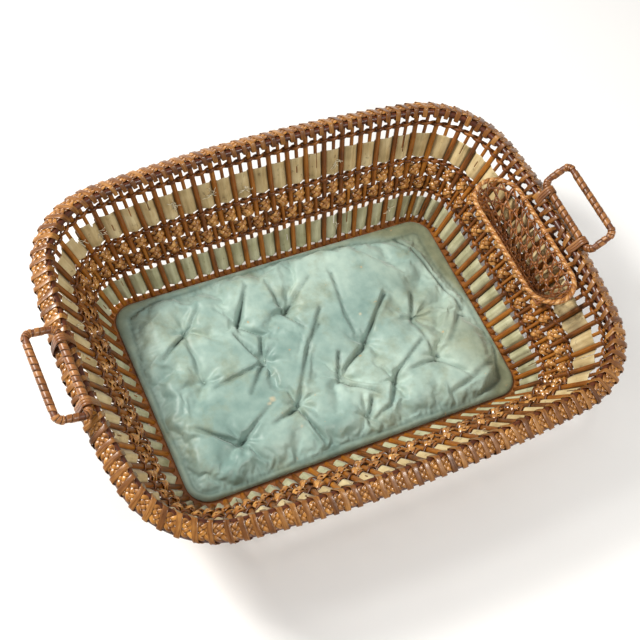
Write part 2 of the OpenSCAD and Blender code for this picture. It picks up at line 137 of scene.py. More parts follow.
class Wall:
    """The row of uprights as one smooth wall. k counts uprights from the middle of the pocket's end,
    anticlockwise from above, and h is the height up their slope."""

    def __init__(self):
        ends = [rod_ends(p) for n in ("thick_uprights", "thin_uprights") for p in islands(n)]
        ends.sort(key=lambda e: (math.atan2(e[1][1], e[1][0]) + 0.01) % TAU)
        self.low = np.array([e[0] for e in ends])
        self.high = np.array([e[1] for e in ends])
        self.count = len(ends)
        self.height = np.linalg.norm(self.high[0] - self.low[0])

    def points(self, k, h):
        k, h = np.broadcast_arrays(np.asarray(k, float), np.asarray(h, float))
        low = through(self.low, k)
        return low + (through(self.high, k) - low)*(h/self.height)[..., None]

    def girth(self, h):
        """Length of the whole row at h."""
        row = self.points(np.arange(self.count + 1.0), h)
        return np.linalg.norm(np.diff(row, axis=0), axis=-1).sum()

    def at(self, k, h):
        """Points on the wall's middle, with the directions along the row, out of the wall and up it."""
        k, h = np.broadcast_arrays(np.asarray(k, float), np.asarray(h, float))
        step = 0.05
        along = unit(self.points(k + step, h) - self.points(k - step, h))
        up = unit(self.points(k, h + MM) - self.points(k, h))
        return self.points(k, h), along, unit(np.cross(along, up)), up

    def crossing(self, node):
        """The points of a CAD node where it crosses the middle of the pocket's end, and their h."""
        points = node_points(node)
        near = points[(points[:, 0] > 0.5*self.low[0][0]) & (np.abs(points[:, 1]) < 25*MM)]
        return near, (near - self.low[0]) @ unit(self.high[0] - self.low[0])

    def heights(self, node):
        """Lowest and highest h of a CAD node there."""
        h = self.crossing(node)[1]
        return h.min(), h.max()

    def outs(self, node):
        """How far in and out of the wall's middle a CAD node reaches there."""
        near, h = self.crossing(node)
        k = near[:, 1]/self.points(1, h)[:, 1]
        point, _, out, _ = self.at(k, h)
        reach = ((near - point)*out).sum(-1)
        return reach.min(), reach.max()


wall = Wall()
thick_r = 3.0*MM
thin_r = 2.2*MM
play = 0.15*MM
CLOTH_THICKNESS = 0.3*MM     # of each ribbon, and of the pad's lining


def weave(k, over, thickness):
    """How far out a band lies that passes outside the thick uprights when over is 1, and inside when -1."""
    at_thick = thick_r + play + thickness/2
    at_thin = thin_r + play + thickness/2
    return over*((at_thick - at_thin)/2 + (at_thick + at_thin)/2*np.cos(math.pi*k))


# ---------------------------------------------------------------- mesh making

class Strands:
    """Collects swept strands and sheets, and joins them into one mesh with their attributes."""

    def __init__(self):
        self.points, self.quads, self.caps = [], [], []
        self.values = {"along": [], "across": [], "tone": [], "depth": []}
        self.count = 0

    def keep(self, points, quads, along, across, tone, depth):
        n = len(points)
        self.points.append(points)
        self.quads.append(quads + self.count)
        for name, value in (("along", along), ("across", across), ("tone", tone), ("depth", depth)):
            self.values[name].append(np.broadcast_to(value, (n,)).astype(np.float32))
        self.count += n

    def sweep(self, path, out, section, closed=False, tone=0.5, depth=0.0):
        """Sweeps section, whose first axis lies across the strand and second points out of it."""
        n = len(path)
        ahead = np.roll(path, -1, 0) - np.roll(path, 1, 0) if closed else np.gradient(path, axis=0)
        forward = unit(ahead)
        side = unit(np.cross(out, forward))
        out = np.cross(forward, side)
        section = np.broadcast_to(section, (n,) + np.shape(section)[-2:])
        rings = path[:, None] + side[:, None]*section[..., :1] + out[:, None]*section[..., 1:]
        self.rings(rings, closed, tone, depth)

    def rings(self, rings, closed=False, tone=0.5, depth=0.0):
        n, m = rings.shape[:2]
        i = np.arange(n if closed else n - 1)[:, None]
        j = np.arange(m)[None]
        after = (i + 1) % n
        quads = np.stack([i*m + j, i*m + (j + 1) % m, after*m + (j + 1) % m, after*m + j], -1)
        along = np.repeat(run_along(rings.mean(1)), m)
        across = np.tile(np.arange(m)/m, n)
        if not closed:
            self.caps.append((self.count + np.arange(m)[::-1]).tolist())
            self.caps.append((self.count + (n - 1)*m + np.arange(m)).tolist())
        depth = np.repeat(np.broadcast_to(depth, (n,)), m)
        self.keep(rings.reshape(-1, 3), quads.reshape(-1, 4), along, across, tone, depth)

    def build(self, name, material, node=None, body="basket"):
        quads = np.concatenate(self.quads)
        corners = [quads.ravel()] + [np.array(cap) for cap in self.caps]
        sizes = np.concatenate([np.full(len(quads), 4), [len(cap) for cap in self.caps]]).astype(int)
        values = {key: np.concatenate(parts) for key, parts in self.values.items()}
        mesh = new_mesh(name, np.concatenate(self.points), np.concatenate(corners), sizes, values)
        return place(bpy.data.objects.new(name, mesh), material, node, body)


def new_mesh(name, points, corners, sizes, values):
    mesh = bpy.data.meshes.new(name)
    mesh.vertices.add(len(points))
    mesh.vertices.foreach_set("co", np.asarray(points, np.float32).ravel())
    mesh.loops.add(len(corners))
    mesh.loops.foreach_set("vertex_index", np.asarray(corners, np.int32))
    mesh.polygons.add(len(sizes))
    starts = np.concatenate([[0], np.cumsum(sizes)[:-1]])
    mesh.polygons.foreach_set("loop_start", starts.astype(np.int32))
    mesh.update(calc_edges=True)
    mesh.polygons.foreach_set("use_smooth", np.ones(len(sizes), bool))
    for key, value in values.items():
        attribute = mesh.attributes.new(key, "FLOAT", "POINT")
        attribute.data.foreach_set("value", np.asarray(value, np.float32))
    mesh.update()
    return mesh


def place(piece, material, node=None, body="basket"):
    """Links a piece, gives it its material, and lets it ride and stand for its CAD nodes."""
    bpy.context.scene.collection.objects.link(piece)
    piece.data.materials.clear()
    piece.data.materials.append(material)
    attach(piece, body)
    if node:
        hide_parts(*([node] if isinstance(node, str) else node))
    return piece


def sheet_quads(nx, ny):
    """The faces of a sheet whose points stand in nx columns of ny."""
    number = np.arange(nx*ny).reshape(nx, ny)
    return np.stack([number[:-1, :-1], number[1:, :-1], number[1:, 1:], number[:-1, 1:]], -1).reshape(-1, 4)


def thicken(piece, thickness):
    solid = piece.modifiers.new("thickness", "SOLIDIFY")
    solid.thickness = thickness
    solid.offset = 0


def oval(width, thickness, sides=8, square=0.6):
    """A strand's section: an ellipse when square is 1, and nearer a rectangle below it."""
    c, s = circle(np.arange(sides)*TAU/sides + math.pi/sides).T
    x, y = np.sign(c)*np.abs(c)**square, np.sign(s)*np.abs(s)**square
    return np.stack([x*width/2, y*thickness/2], -1)


def split_cane(width, thickness):
    """The section of a split cane: flat below and domed above."""
    x = np.array([-0.5, -0.46, -0.3, 0, 0.3, 0.46, 0.5, 0.3, 0, -0.3])
    y = np.array([-0.2, 0.2, 0.42, 0.5, 0.42, 0.2, -0.2, -0.5, -0.5, -0.5])
    return np.stack([x*width, y*thickness], -1)[::-1]


# ---------------------------------------------------------------- materials

def srgb(r, g, b):
    """Linear colour from the usual 0 to 255 values."""
    def line(c):
        c = c/255
        return c/12.92 if c <= 0.04045 else ((c + 0.055)/1.055)**2.4
    return (line(r), line(g), line(b), 1)


class Shader:
    """A material being wired: node() adds one node, whose inputs are numbers, colours or sockets."""

    def __init__(self, name, roughness, **surface):
        self.material = bpy.data.materials.new(name)
        self.material.use_nodes = True
        self.tree = self.material.node_tree
        self.surface = self.tree.nodes["Principled BSDF"]
        self.put(self.surface, {"Roughness": roughness, **surface})

    def put(self, node, values):
        for key, value in values.items():
            if hasattr(value, "is_output"):
                self.tree.links.new(value, node.inputs[key])
            else:
                node.inputs[key].default_value = value

    def node(self, kind, values=None, output=0, **settings):
        node = self.tree.nodes.new("ShaderNode" + kind)
        for key, value in settings.items():
            setattr(node, key, value)
        self.put(node, values or {})
        return node.outputs[output]

    def math(self, operation, a, b=0.0, c=0.0):
        return self.node("Math", {0: a, 1: b, 2: c}, operation=operation)

    def attribute(self, name):
        return self.node("Attribute", output="Fac", attribute_name=name)

    def object_point(self):
        return self.node("TexCoord", output="Object")

    def strand_point(self, along, across):
        """Coordinates that follow a strand and differ from strand to strand."""
        return self.node("CombineXYZ", {
            "X": self.math("MULTIPLY", self.attribute("along"), along),
            "Y": self.math("MULTIPLY", self.attribute("across"), across),
            "Z": self.math("MULTIPLY", self.attribute("tone"), 90.0)})

    def noise(self, vector, scale, detail=2.0, roughness=0.5, output="Fac"):
        return self.node("TexNoise", {"Vector": vector, "Scale": scale, "Detail": detail,
                                      "Roughness": roughness}, output=output)

    def waves(self, vector, scale, direction):
        return self.node("TexWave", {"Vector": vector, "Scale": scale}, output="Fac",
                         bands_direction=direction)

    def ramp(self, value, stops):
        node = self.tree.nodes.new("ShaderNodeValToRGB")
        self.put(node, {"Fac": value})
        ramp = node.color_ramp
        while len(ramp.elements) < len(stops):
            ramp.elements.new(0.5)
        for element, (place_, colour) in zip(ramp.elements, stops):
            element.position = place_
            element.color = colour
        return node.outputs[0]

    def remap(self, value, low, high, new_low=0.0, new_high=1.0):
        return self.node("MapRange", {"Value": value, "From Min": low, "From Max": high,
                                      "To Min": new_low, "To Max": new_high})

    def mix(self, share, a, b, blend="MIX"):
        node = self.tree.nodes.new("ShaderNodeMix")
        node.data_type = "RGBA"
        node.blend_type = blend
        self.put(node, {0: share, 6: a, 7: b})     # the inputs and output of its colour mode
        return node.outputs[2]

    def bump(self, height, strength, distance, under=None):
        values = {"Height": height, "Strength": strength, "Distance": distance}
        if under is not None:
            values["Normal"] = under
        return self.node("Bump", values)

    def done(self, colour, normal=None, roughness=None):
        self.put(self.surface, {"Base Color": colour})
        if normal is not None:
            self.put(self.surface, {"Normal": normal})
        if roughness is not None:
            self.put(self.surface, {"Roughness": roughness})
        return self.material


def cane(name, dark, middle, light, roughness=0.35, coat=0.25, under_shade=0.45, fibre=0.5, wear_and_crest_highlight=0.0):
    """Split or round cane: long fibres, a tone for each strand, darker as painted shade where it passes
    under others and paler as a painted highlight on its crests where it passes over them."""
    dark, middle, light = (srgb(*colour) for colour in (dark, middle, light))
    s = Shader(name, roughness, **{"Coat Weight": coat, "Coat Roughness": 0.22})
    streaks = s.noise(s.strand_point(60.0, 9.0), 1.0, 3.0, 0.6)
    blotches = s.noise(s.object_point(), 45.0, 3.0, 0.6)
    tone = s.math("MULTIPLY_ADD", s.attribute("tone"), 0.42,
                  s.math("MULTIPLY_ADD", streaks, 0.62, s.math("MULTIPLY_ADD", blotches, 0.5, -0.26)))
    colour = s.ramp(tone, [(0.2, dark), (0.5, middle), (0.82, light)])
    # Painted shade: darker where the strand passes under others or sinks between the uprights.
    under = s.remap(s.attribute("depth"), -1.0, 0.35, 1.0, 0.0)
    colour = s.mix(s.math("MULTIPLY", under, under_shade), colour, tuple(0.18*c for c in dark[:3]) + (1,))
    # Painted highlight: paler on the crests where the strand passes over others.
    if wear_and_crest_highlight:
        colour = s.mix(s.remap(s.attribute("depth"), 0.35, 1.0, 0.0, wear_and_crest_highlight), colour, light)
    lines = s.noise(s.strand_point(25.0, 60.0), 1.0, 2.0, 0.5)
    normal = s.bump(lines, fibre, 0.15*MM)
    rough = s.remap(streaks, 0.3, 0.7, roughness*0.8, roughness*1.35)
    return s.done(colour, normal, rough)


REED = cane("reed", (70, 34, 2), (142, 80, 8), (186, 118, 26), 0.42, 0.08)
DARK_CANE = cane("dark_cane", (48, 17, 2), (92, 40, 8), (148, 84, 30), 0.36, 0.08)
TWINE = cane("twine_cane", (62, 28, 4), (126, 68, 16), (188, 118, 44), 0.36, 0.08, under_shade=0.65)
PLAITED = cane("plaited_cane", (84, 40, 6), (149, 87, 24), (230, 174, 98), 0.2, 0.6,
               under_shade=0.75, wear_and_crest_highlight=0.35)
PALE_CANE = cane("pale_cane", (116, 62, 18), (184, 120, 54), (236, 186, 122), 0.3, 0.35)
# Painted shade: a darker copy of the wall's plaited cane, for the rim where the key lamp falls strongly.
RIM_PLAIT = cane("rim_plaited_cane", (76, 37, 5), (132, 79, 20), (216, 152, 68), 0.28, 0.35,
                 under_shade=0.65, wear_and_crest_highlight=0.3)
# Painted shade: a darker copy of the pale cane, for the rim where the key lamp falls strongly.
STRAP = cane("strap_cane", (70, 34, 6), (132, 80, 26), (200, 142, 70), 0.3, 0.25)
WRAP = cane("wrap_cane", (78, 42, 13), (134, 82, 36), (184, 128, 72), 0.38, 0.15)
POCKET_CANE = cane("pocket_cane", (92, 46, 14), (156, 92, 40), (200, 140, 80), 0.34, 0.25, under_shade=0.6)


# ---------------------------------------------------------------- uprights

def upright_rods():
    """Round reeds, each a little bent and uneven."""
    for parity, radius, node in ((0, thick_r, "thick_uprights"), (1, thin_r, "thin_uprights")):
        rods = Strands()
        h = np.linspace(0, wall.height, 22)
        for k in range(parity, wall.count, 2):
            lean = wavy(2.2*wall.height, 3, 0.35*MM, 1000 + k)(h)
            bow = wavy(2.2*wall.height, 3, 0.18*MM, 2000 + k)(h)
            swell = 1 + wavy(2*wall.height, 5, 0.035, 3000 + k)(h)
            point, along, out, _ = wall.at(np.full(len(h), float(k)), h)
            path = point + along*lean[:, None] + out*bow[:, None]
            section = oval(2*radius, 2*radius*0.97, 12, 1.0)*(swell*0.99)[:, None, None]
            rods.sweep(path, out, section, tone=rng.uniform(0.1, 0.9))
        rods.build(node[:-1] + "_reeds", REED, node)


upright_rods()


# ---------------------------------------------------------------- plaits and twines

def plait_lift(phase, strands):
    """1 where a strand of a flat plait lies on top and -1 where it lies below; phase is 0 at one edge."""
    m = (phase*2*strands + strands) % (2*strands) - strands
    a = np.abs(m)
    lift = np.where(a < 1, -np.sin(math.pi*a/2), np.cos(math.pi*a))
    last = math.cos(math.pi*(strands - 1))
    lift = np.where(a > strands - 1, last*np.cos(math.pi/2*(a - strands + 1)), lift)
    return np.sign(m)*lift


def zigzag(phase, sharpness=0.975):
    """1 at phase 0 and -1 at phase 0.5, in straight runs with rounded turns."""
    return np.arcsin(sharpness*np.cos(TAU*phase))/math.asin(sharpness)


def wall_plait(name, node, over, strands=4, period=25*MM):
    low, high = wall.heights(node)
    width = 5.2*MM
    lift = 1.25*MM
    plait = Strands()
    middle = (low + high)/2
    length = wall.girth(middle)
    periods = round(length/period)
    samples = round(length/(0.85*MM))
    k = np.arange(samples)*wall.count/samples
    for strand in range(strands):
        phase = k/wall.count*periods + strand/strands
        h = middle + ((high - low)/2 - 0.5*width)*zigzag(phase)
        up_down = plait_lift(phase, strands)
        point, _, out, _ = wall.at(k, h)
        path = point + out*(weave(k, over, 2.6*MM) + lift*up_down)[:, None]
        section = oval(width, 1.7*MM, 8, 0.9)
        # depth paints shade where a strand dips under the others, and a highlight where it rides on top.
        plait.sweep(path, out, section, closed=True, tone=rng.uniform(0.2, 0.9),
                    depth=up_down*np.sign(over*np.cos(math.pi*k)))
    return plait.build(name, PLAITED, node)


wall_plait("lower_plaited_band", "lower_plait", -1)
wall_plait("upper_plaited_band", "upper_plait", 1)


def twined_pair(name, node):
    """Two canes that swap sides of the wall at each upright."""
    low, high = wall.heights(node)
    middle = (low + high)/2
    twine = Strands()
    per_upright = 12
    k = np.arange(wall.count*per_upright)/per_upright
    for hand in (1, -1):
        reach = 3.75*MM + 0.4*MM*np.cos(TAU*k/2)
        point, _, out, _ = wall.at(k, middle + hand*1.15*MM*np.sin(math.pi*k))
        path = point + out*(hand*reach*np.cos(math.pi*k))[:, None]
        # depth paints shade on the canes in the gaps between the uprights, and hardly any where they cross
        # an upright.
        twine.sweep(path, out, oval(3.9*MM, 1.7*MM, 8, 0.8), closed=True, tone=0.5 + 0.2*hand,
                    depth=np.abs(np.cos(math.pi*k))*1.3 - 1)
    return twine.build(name, TWINE, node)


for level in ("lower", "middle", "top"):
    twined_pair(level + "_twined_pair", level + "_twine")


# ---------------------------------------------------------------- rim

def rim_rods():
    for node, name in (("rim_rod_inner", "inner_rim_rod"), ("rim_rod_outer", "outer_rim_rod")):
        low, high = wall.heights(node)
        inner, outer = wall.outs(node)
        k = np.linspace(0, wall.count, 840, endpoint=False)
        point, _, out, _ = wall.at(k, (low + high)/2)
        path = point + out*((inner + outer)/2)
        swell = 1 + wavy(wall.count, 60, 0.02, 50 + len(node))(k)
        rod = Strands()
        section = oval(high - low, high - low, 14, 1.0)*swell[:, None, None]
        rod.sweep(path, out, section, closed=True, tone=0.35)
        rod.build(name, DARK_CANE, node)


rim_rods()
rod_low, rod_high = wall.heights("rim_rod_inner")
rod_h = (rod_low + rod_high)/2
rod_r = (rod_high - rod_low)/2
rod_out = sum(wall.outs("rim_rod_outer"))/2


def rim_plait(strands=5, period=33*MM):
    """A wide flat plait that lies on both rods and hides the uprights' ends."""
    width = 4.5*MM
    half = 9.2*MM
    plait = Strands()
    length = wall.girth(rod_h)
    periods = round(length/period)
    samples = round(length/(0.95*MM))
    k = np.arange(samples)*wall.count/samples
    for strand in range(strands):
        phase = k/wall.count*periods + strand/strands
        across = (half - width/2)*zigzag(phase)
        up_down = plait_lift(phase, strands)
        # The plait bends down over the rods' outer shoulders
        past = np.maximum(np.abs(across) - (rod_out - 1*MM), 0)
        lift_h = rod_h + rod_r + 1.25*MM + 0.62*MM*up_down - past**2/(1.5*rod_r)
        point, _, out, up = wall.at(k, lift_h)
        path = point + out*across[:, None]
        # depth paints shade where a strand dips under the others, and a highlight where it rides on top.
        plait.sweep(path, up, oval(width, 1.3*MM, 8, 0.85), closed=True,
                    tone=rng.uniform(0.2, 0.9), depth=up_down)
    plait.build("rim_plaited_band", RIM_PLAIT, "rim_plait")


rim_plait()


def closed_curve(points, t):
    """A smooth closed curve through points, at t from 0 to 1, with its outward normal."""
    points = np.asarray(points, float)

    def at(t):
        return through(points, (t % 1)*len(points))
    ahead = at(t + 1e-3) - at(t - 1e-3)
    normal = unit(np.stack([-ahead[..., 1], ahead[..., 0]], -1))
    return at(t), normal


def strap_loop():
    """The strap's loop round the rim as (out, h): from below the rods up their inner side, over the
    top and down again."""
    half = [(0.55, -1.25), (0.93, -1.08), (1.2, -0.75), (1.28, 0.1), (1.22, 0.62), (1.02, 1.0),
            (0.62, 1.16)]
    right = [(rod_out + rod_r*(x - 0.18) if x > 0.7 else x*rod_out*1.1, rod_h + y*rod_r*1.45)
             for x, y in half]
    left = [(-x, y) for x, y in right]
    bottom = (0, rod_h - 1.3*rod_r*1.3)
    top = (0, rod_h + rod_r + 2.75*MM)
    return [bottom] + left + [top] + right[::-1]


def rim_strap(turns=133, per_turn=36):
    """One long split cane wound round the whole rim, passing between the uprights below it."""
    loop = strap_loop()
    total = turns*per_turn
    turn = np.arange(total)/per_turn
    share = turn % 1
    # The turns lie closest along the back and the pocket's end, and widest apart at the other end
    row = np.linspace(0, wall.count, 701)
    x, y = wall.points(row, rod_h).T[:2]
    close = np.maximum(smooth(y, 0.08, 0.17), smooth(x, 0.2, 0.27))
    crowd = 0.86 + np.maximum(0.14*close, 0.08*smooth(-y, 0.08, 0.17))
    run = np.concatenate([[0], np.cumsum(crowd[:-1])])
    ends = np.interp(np.arange(turns + 1)/turns, run/run[-1], row)
    gaps = np.floor(ends) + 0.5
    shift = gaps - ends
    i = np.floor(turn).astype(int)
    pull = 0.5 + 0.5*np.cos(TAU*share)
    k = np.interp(turn, np.arange(turns + 1), ends) + np.where(share < 0.5, shift[i], shift[i + 1])*pull
    uneven = wavy(turns, 50, 0.05, 77)(turn)
    flat, normal = closed_curve(loop, share)
    point, _, out, up = wall.at(k + uneven, flat[:, 1])
    path = point + out*flat[:, :1]
    facing = out*normal[:, :1] + up*normal[:, 1:]
    narrow = lerp(5.9*MM, 4.4*MM, pull**3)*(1 + wavy(turns, 60, 0.05, 78)(turn))
    section = split_cane(1.0, 0.75*MM)*np.stack([narrow, np.ones(total)], -1)[:, None]
    strap = Strands()
    strap.sweep(path, facing, section, closed=True, tone=0.5)
    tone = np.repeat(0.5 + 0.35*np.sin(i*12.9898)*np.cos(i*4.1), section.shape[1])
    strap.values["tone"] = [tone.astype(np.float32)]
    strap.build("rim_wound_strap", STRAP, "rim_strap")


rim_strap()


# ---------------------------------------------------------------- ribbons

def wrapped(k, h, over, thickness):
    """How far out a tight ribbon lies: on the uprights' round sides and straight between them."""
    nearest = np.floor(k)
    share = k - nearest
    even = nearest % 2 == 0
    x = np.where(even, share, 1 - share)
    pitch = np.linalg.norm(wall.points(nearest + 1, h) - wall.points(nearest, h), axis=-1)
    first, second = thick_r + play + thickness/2, thin_r + play + thickness/2
    slope = np.arcsin(np.clip((first + second)/pitch, 0, 0.98))
    x = x*pitch
    x1, x2 = first*np.sin(slope), pitch - second*np.sin(slope)
    y1, y2 = first*np.cos(slope), -second*np.cos(slope)
    straight = lerp(y1, y2, np.clip((x - x1)/np.maximum(x2 - x1, 1e-6), 0, 1))
    on_first = np.sqrt(np.maximum(first**2 - x**2, 0))
    on_second = -np.sqrt(np.maximum(second**2 - (pitch - x)**2, 0))
    return over*np.where(x < x1, on_first, np.where(x > x2, on_second, straight))


def silk(name, fresh, aged, stain, dark):
    """Old ribbed silk ribbon: fine cross ribs, faded in streaks and stained along its edges, and darkened
    as painted shade where it passes behind the thick uprights.
    """
    fresh, aged, stain, dark = (srgb(*colour) for colour in (fresh, aged, stain, dark))
    s = Shader(name, 0.55, **{"Sheen Weight": 0.25, "Sheen Roughness": 0.4})
    streaks = s.noise(s.strand_point(350.0, 1.5), 1.0, 3.0, 0.6)
    faded = s.noise(s.strand_point(28.0, 1.2), 1.0, 2.0, 0.5)
    spots = s.noise(s.object_point(), 160.0, 4.0, 0.65)
    colour = s.ramp(s.math("MULTIPLY_ADD", faded, 0.7, s.math("MULTIPLY", streaks, 0.35)),
                    [(0.3, stain), (0.5, aged), (0.72, fresh)])
    colour = s.mix(s.remap(spots, 0.6, 0.78), colour, dark)
    edge = s.math("ABSOLUTE", s.math("SUBTRACT", s.attribute("across"), 0.5))
    colour = s.mix(s.remap(edge, 0.42, 0.5, 0.0, 0.5), colour, fresh)
    # Painted shade: darker where the ribbon tucks behind the thick uprights.
    colour = s.mix(s.remap(s.attribute("depth"), 0.0, 1.0, 0.0, 0.65), colour, dark)
    ribs = s.waves(s.strand_point(1.0, 30.0), 1.0, "Y")
    creases = s.noise(s.strand_point(160.0, 0.8), 1.0, 3.0, 0.6)
    normal = s.bump(creases, 0.7, 0.5*MM, s.bump(ribs, 0.1, 0.1*MM))
    return s.done(colour, normal)


UPPER_SILK = silk("upper_silk", (222, 204, 158), (195, 171, 122), (153, 131, 84), (96, 72, 38))
LOWER_SILK = silk("lower_silk", (204, 202, 169), (174, 172, 135), (139, 136, 98), (98, 84, 50))
FRAYED = silk("frayed_silk", (250, 244, 222), (240, 230, 200), (222, 208, 170), (190, 172, 128))


def ribbon(name, node, material, torn, seed, torn_panels=()):
    """A silk ribbon woven through the uprights, creased and loose, with slits and frayed places.
    A torn panel is an upright's number, with the share of the ribbon's width that is left there."""
    random = np.random.default_rng(seed)
    low, high = wall.heights(node)
    per_upright, rows = 10, 20
    columns = wall.count*per_upright
    k = np.arange(columns)/per_upright
    panel = np.floor(k/2).astype(int)
    panels = wall.count//2
    tilt = random.normal(0, 0.9*MM, panels)
    droop = np.abs(random.normal(0, 1.1*MM, panels))
    swell = random.uniform(0.2, 1.0, panels)
    crease = random.normal(0, 1, (panels, 3))
    across = k % 2 - 1
    free = np.sin(math.pi*k)**2
    scallop = np.cos(math.pi*across/2)**2
    bottom = low + 0.6*MM + tilt[panel]*across*free + droop[panel]*0.4*free
    top = (high - 0.4*MM - droop[panel]*free - 0.9*MM*(1 - scallop)*free
           + 0.5*tilt[(panel*7) % panels]*across*free)
    v = np.linspace(0, 1, rows)
    h = bottom[:, None] + (top - bottom)[:, None]*v
    kk = np.repeat(k[:, None], rows, 1)
    out = wrapped(kk, h, 1, 0.35*MM)
    folds = (0.55*np.sin(v[None]*math.pi*2 + crease[panel, 0:1]*2)*across[:, None]
             + 0.5*np.sin(math.pi*3*across[:, None] + crease[panel, 1:2]*3 + v[None]*crease[panel, 2:3]*2))
    sag = swell[panel][:, None]*np.sin(math.pi*v)[None]**0.5
    out = out + free[:, None]*(0.5*folds - 0.35*sag)*MM
    slide = 0.05*folds*free[:, None]
    point, _, outward, _ = wall.at(kk + slide, h)
    points = (point + outward*out[..., None]).reshape(-1, 3)
    i = np.arange(columns)[:, None]
    j = np.arange(rows - 1)[None]
    after = (i + 1) % columns
    quads = np.stack([i*rows + j, after*rows + j, after*rows + j + 1, i*rows + j + 1], -1)
    kept = np.ones((columns, rows - 1), bool)
    # The silk has split over the thin uprights, mostly from its top edge down
    for _ in range(torn):
        at = (2*random.integers(0, panels) + 1)*per_upright + random.integers(-2, 2)
        start = random.integers(6, rows - 7)
        kept[at % columns, start:start + random.choice((rows, 5))] = False
    for place_k, share in torn_panels:
        for c in range(int((place_k + 0.3)*per_upright), int((place_k + 0.9)*per_upright)):
            kept[c, int(rows*share*random.uniform(0.85, 1.1)) - 1:] = False
    quads = quads[kept].reshape(-1, 4)
    length = run_along(points.reshape(columns, rows, 3)[:, 0])
    # depth carries painted shade: 1 where the ribbon passes behind a thick upright.
    values = {"along": np.repeat(length, rows), "across": np.tile(v, columns),
              "tone": np.repeat(random.uniform(0, 1, panels)[panel], rows)*0.02,
              "depth": np.repeat(np.clip(1.3*np.cos(math.pi*k), 0, 1), rows)}
    mesh = new_mesh(name, points, quads.ravel(), np.full(len(quads), 4), values)
    piece = place(bpy.data.objects.new(name, mesh), material, node)
    thicken(piece, CLOTH_THICKNESS)
    return points.reshape(columns, rows, 3), outward


upper_points, upper_out = ribbon("upper_silk_ribbon", "upper_ribbon", UPPER_SILK,
                                 torn=30, seed=31, torn_panels=((52, 0.85), (54, 0.75)))
lower_points, lower_out = ribbon("lower_silk_ribbon", "lower_ribbon", LOWER_SILK,
                                 torn=14, seed=32)


def loose_threads():
    """Pale silk threads that hang out of the worn places of the ribbons."""
    random = np.random.default_rng(5)
    threads = Strands()
    # The upright number of each worn place, negative on the lower ribbon, and its threads
    wear_and_crest_highlight = ((44.6, 14), (40.6, 12), (37.0, 7), (26.8, 9), (52.5, 9), (54.5, 7), (63.5, 5),
            (112.5, 4), (84.5, 5), (-19.5, 6), (-26.6, 4))
    for k0, count in wear_and_crest_highlight:
        silk_points, silk_out = (upper_points, upper_out) if k0 > 0 else (lower_points, lower_out)
        knot = random.integers(7, 12)
        for _ in range(count):
            c = int((abs(k0) + random.uniform(-0.15, 0.15))*10) % len(silk_points)
            r = knot + random.integers(-1, 3)
            start = silk_points[c, r]
            inward = -silk_out[c, r]
            drift = random.normal(0, 1, 3)*np.array([5.5, 1.5, 5.5])*MM
            t = np.linspace(0, 1, 9)[:, None]
            curl = random.normal(0, 0.5*MM, 3)
            path = (start + inward*(0.4*MM + 4.2*MM*np.sin(math.pi*t*0.7)) + drift*t
                    + curl*np.sin(TAU*t) - np.array([0, 0, random.uniform(-2, 9)*MM])*t**1.5)
            threads.sweep(path, inward, oval(0.65*MM, 0.4*MM, 5, 1.0),
                          tone=random.uniform(0, 1))
    threads.build("loose_silk_threads", FRAYED)


loose_threads()


# ---------------------------------------------------------------- handles

class Loop:
    """A handle's rounded rectangle, from the middle of its bar: s runs along +Y first, then round it."""

    def __init__(self, side):
        boxes = {part: [np.array(c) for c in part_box(side + part)]
                 for part in ("_grip_wrap", "_bar_wrap", "_arm_wraps")}
        grip, bar = (sum(boxes[p])/2 for p in ("_grip_wrap", "_bar_wrap"))
        self.half = (boxes["_grip_wrap"][1] - boxes["_grip_wrap"][0])[1]/2
        self.start = bar
        self.length = np.linalg.norm(grip - bar)
        self.ahead = unit(grip - bar)
        self.side = np.array([0.0, 1.0, 0.0])
        self.normal = np.cross(self.ahead, self.side)
        self.normal = self.normal*np.sign(self.normal[2])
        arms = boxes["_arm_wraps"]
        self.bend = (arms[1] - arms[0])[1]/2 - 4.75*MM - self.half
        self.arm = self.length - 2*self.bend
        quarter = math.pi/2*self.bend
        self.ends = np.cumsum([0, self.half, quarter, self.arm, quarter, 2*self.half,
                               quarter, self.arm, quarter, self.half])

    def at(self, s):
        """Point, direction away from the loop's middle, and the loop's normal at s."""
        total = self.ends[-1]
        s = np.mod(s, total)
        i = np.clip(np.searchsorted(self.ends, s, side="right") - 1, 0, 8)
        t = s - self.ends[i]
        a, r, far = self.half, self.bend, self.length
        w = a + r
        straight = {0: ((0, 0), (0, 1)), 2: ((r, w), (1, 0)), 4: ((far, a), (0, -1)),
                    6: ((far - r, -w), (-1, 0)), 8: ((0, -a), (0, 1))}
        bends = {1: ((r, a), 180), 3: ((far - r, a), 90), 5: ((far - r, -a), 0), 7: ((r, -a), -90)}
        flat = np.zeros(s.shape + (2,))
        out = np.zeros(s.shape + (2,))
        for n, (begin, way) in straight.items():
            m = i == n
            flat[m] = np.array(begin) + t[m, None]*np.array(way)
            out[m] = (-way[1], way[0])
        for n, (centre, angle) in bends.items():
            m = i == n
            turn = math.radians(angle) - t[m]/r
            out[m] = np.stack([np.cos(turn), np.sin(turn)], -1)
            flat[m] = np.array(centre) + r*out[m]
        to_space = np.stack([self.ahead, self.side])
        return self.start + flat @ to_space, out @ to_space, np.broadcast_to(self.normal, s.shape + (3,))


